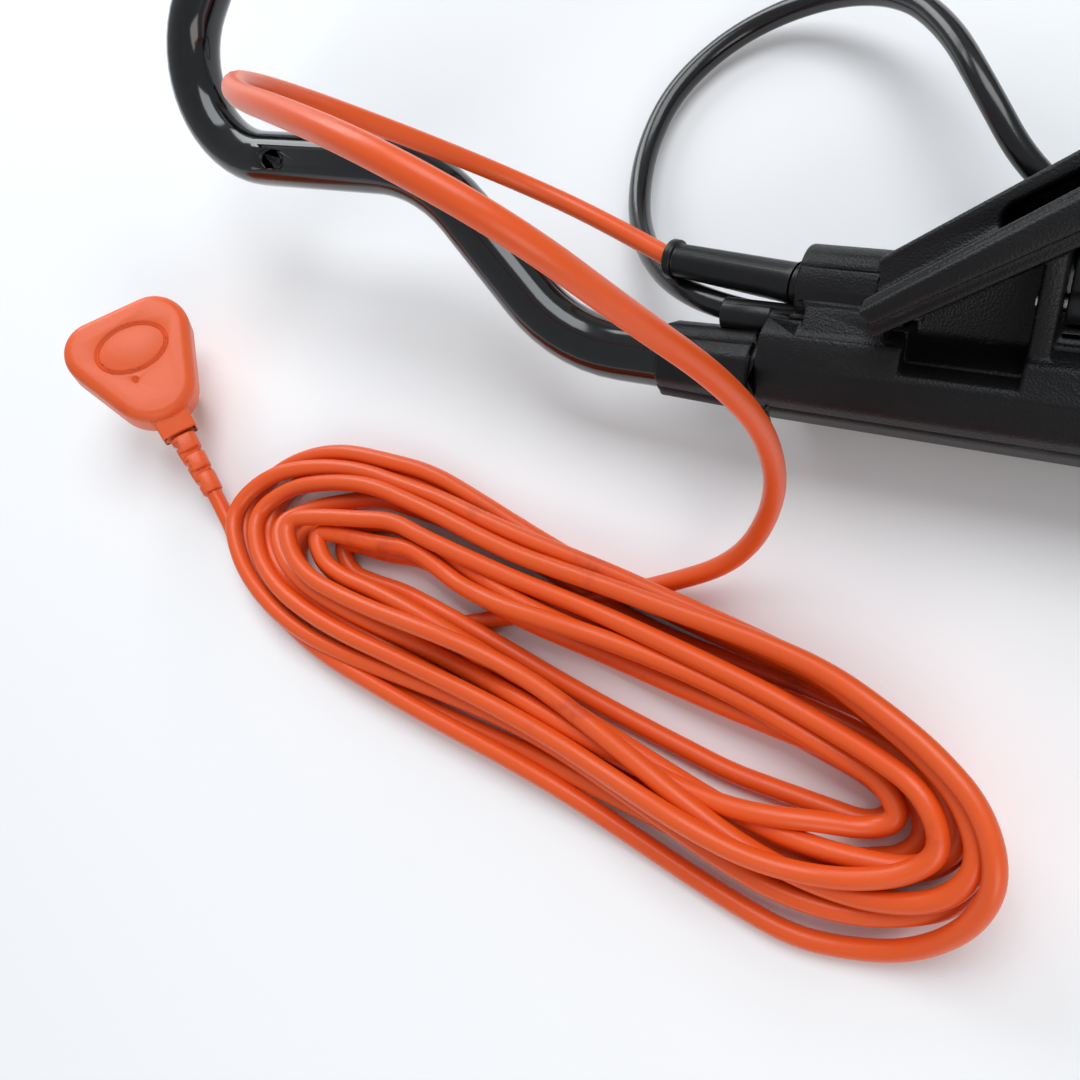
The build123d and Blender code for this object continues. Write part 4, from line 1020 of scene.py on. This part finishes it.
class MOWER_OT_deck(bpy.types.Operator):
    """Finish the deck, its rear flap and the handle brackets"""

    bl_idname = "mower.deck"
    bl_label = "Deck"

    def execute(self, context):
        skin_all(("deck", "rear_flap", "handle_brackets", "motor_cable_gland"))
        return {"FINISHED"}


class MOWER_OT_motor(bpy.types.Operator):
    """Finish the motor, its cover, the fan and the blade"""

    bl_idname = "mower.motor"
    bl_label = "Motor and blade"

    def execute(self, context):
        skin_all(
            ("motor_cover", "motor_base", "motor_cap", "blade", "blade_hub", "cooling_fan")
        )
        return {"FINISHED"}


class MOWER_OT_wheels(bpy.types.Operator):
    """Finish the four wheels"""

    bl_idname = "mower.wheels"
    bl_label = "Wheels"

    def execute(self, context):
        for corner in ("front_left", "front_right", "rear_left", "rear_right"):
            skin_all(("rim_" + corner, "tyre_" + corner))
        return {"FINISHED"}


class MOWER_OT_hardware(bpy.types.Operator):
    """Give the screws, pins, springs and other small parts their metals and plastics"""

    bl_idname = "mower.hardware"
    bl_label = "Hardware"

    def execute(self, context):
        slots = {
            part["node"]: part["material_slot"] for part in frame["record"]["subparts"]
        }
        for node, piece in frame["nodes"].items():
            if not piece.hide_render:
                repainted(node, slots[node])
        return {"FINISHED"}


OPERATORS = (
    MOWER_OT_stage, MOWER_OT_mains_lead, MOWER_OT_motor_cable, MOWER_OT_handle,
    MOWER_OT_switch_box, MOWER_OT_plug, MOWER_OT_deck, MOWER_OT_motor, MOWER_OT_wheels,
    MOWER_OT_hardware,
)


class MOWER_PT_panel(bpy.types.Panel):
    """Sidebar panel with each group's settings and buttons"""

    bl_idname = "MOWER_PT_panel"
    bl_label = "Push mower"
    bl_space_type = "VIEW_3D"
    bl_region_type = "UI"
    bl_category = "Mower"

    def draw(self, context):
        scene = context.scene
        groups = (scene.mower_stage, scene.mower_cords, scene.mower_finish)
        for settings in groups:
            for key in settings.__annotations__:
                self.layout.prop(settings, key)
        for operator in OPERATORS:
            self.layout.operator(operator.bl_idname)


SETTINGS = {
    "mower_stage": MowerStageSettings,
    "mower_cords": MowerCordSettings,
    "mower_finish": MowerFinishSettings,
}


def register():
    for name, kind in SETTINGS.items():
        bpy.utils.register_class(kind)
        setattr(bpy.types.Scene, name, PointerProperty(type=kind))
    for kind in (*OPERATORS, MOWER_PT_panel):
        bpy.utils.register_class(kind)


def unregister():
    for kind in reversed((*OPERATORS, MOWER_PT_panel)):
        bpy.utils.unregister_class(kind)
    for name, kind in SETTINGS.items():
        delattr(bpy.types.Scene, name)
        bpy.utils.unregister_class(kind)


def main():
    register()
    bpy.ops.mower.stage()
    bpy.ops.mower.mains_lead()
    bpy.ops.mower.motor_cable()
    bpy.ops.mower.handle()
    bpy.ops.mower.switch_box()
    bpy.ops.mower.plug()
    bpy.ops.mower.deck()
    bpy.ops.mower.motor()
    bpy.ops.mower.wheels()
    bpy.ops.mower.hardware()


if __name__ == "__main__":
    main()
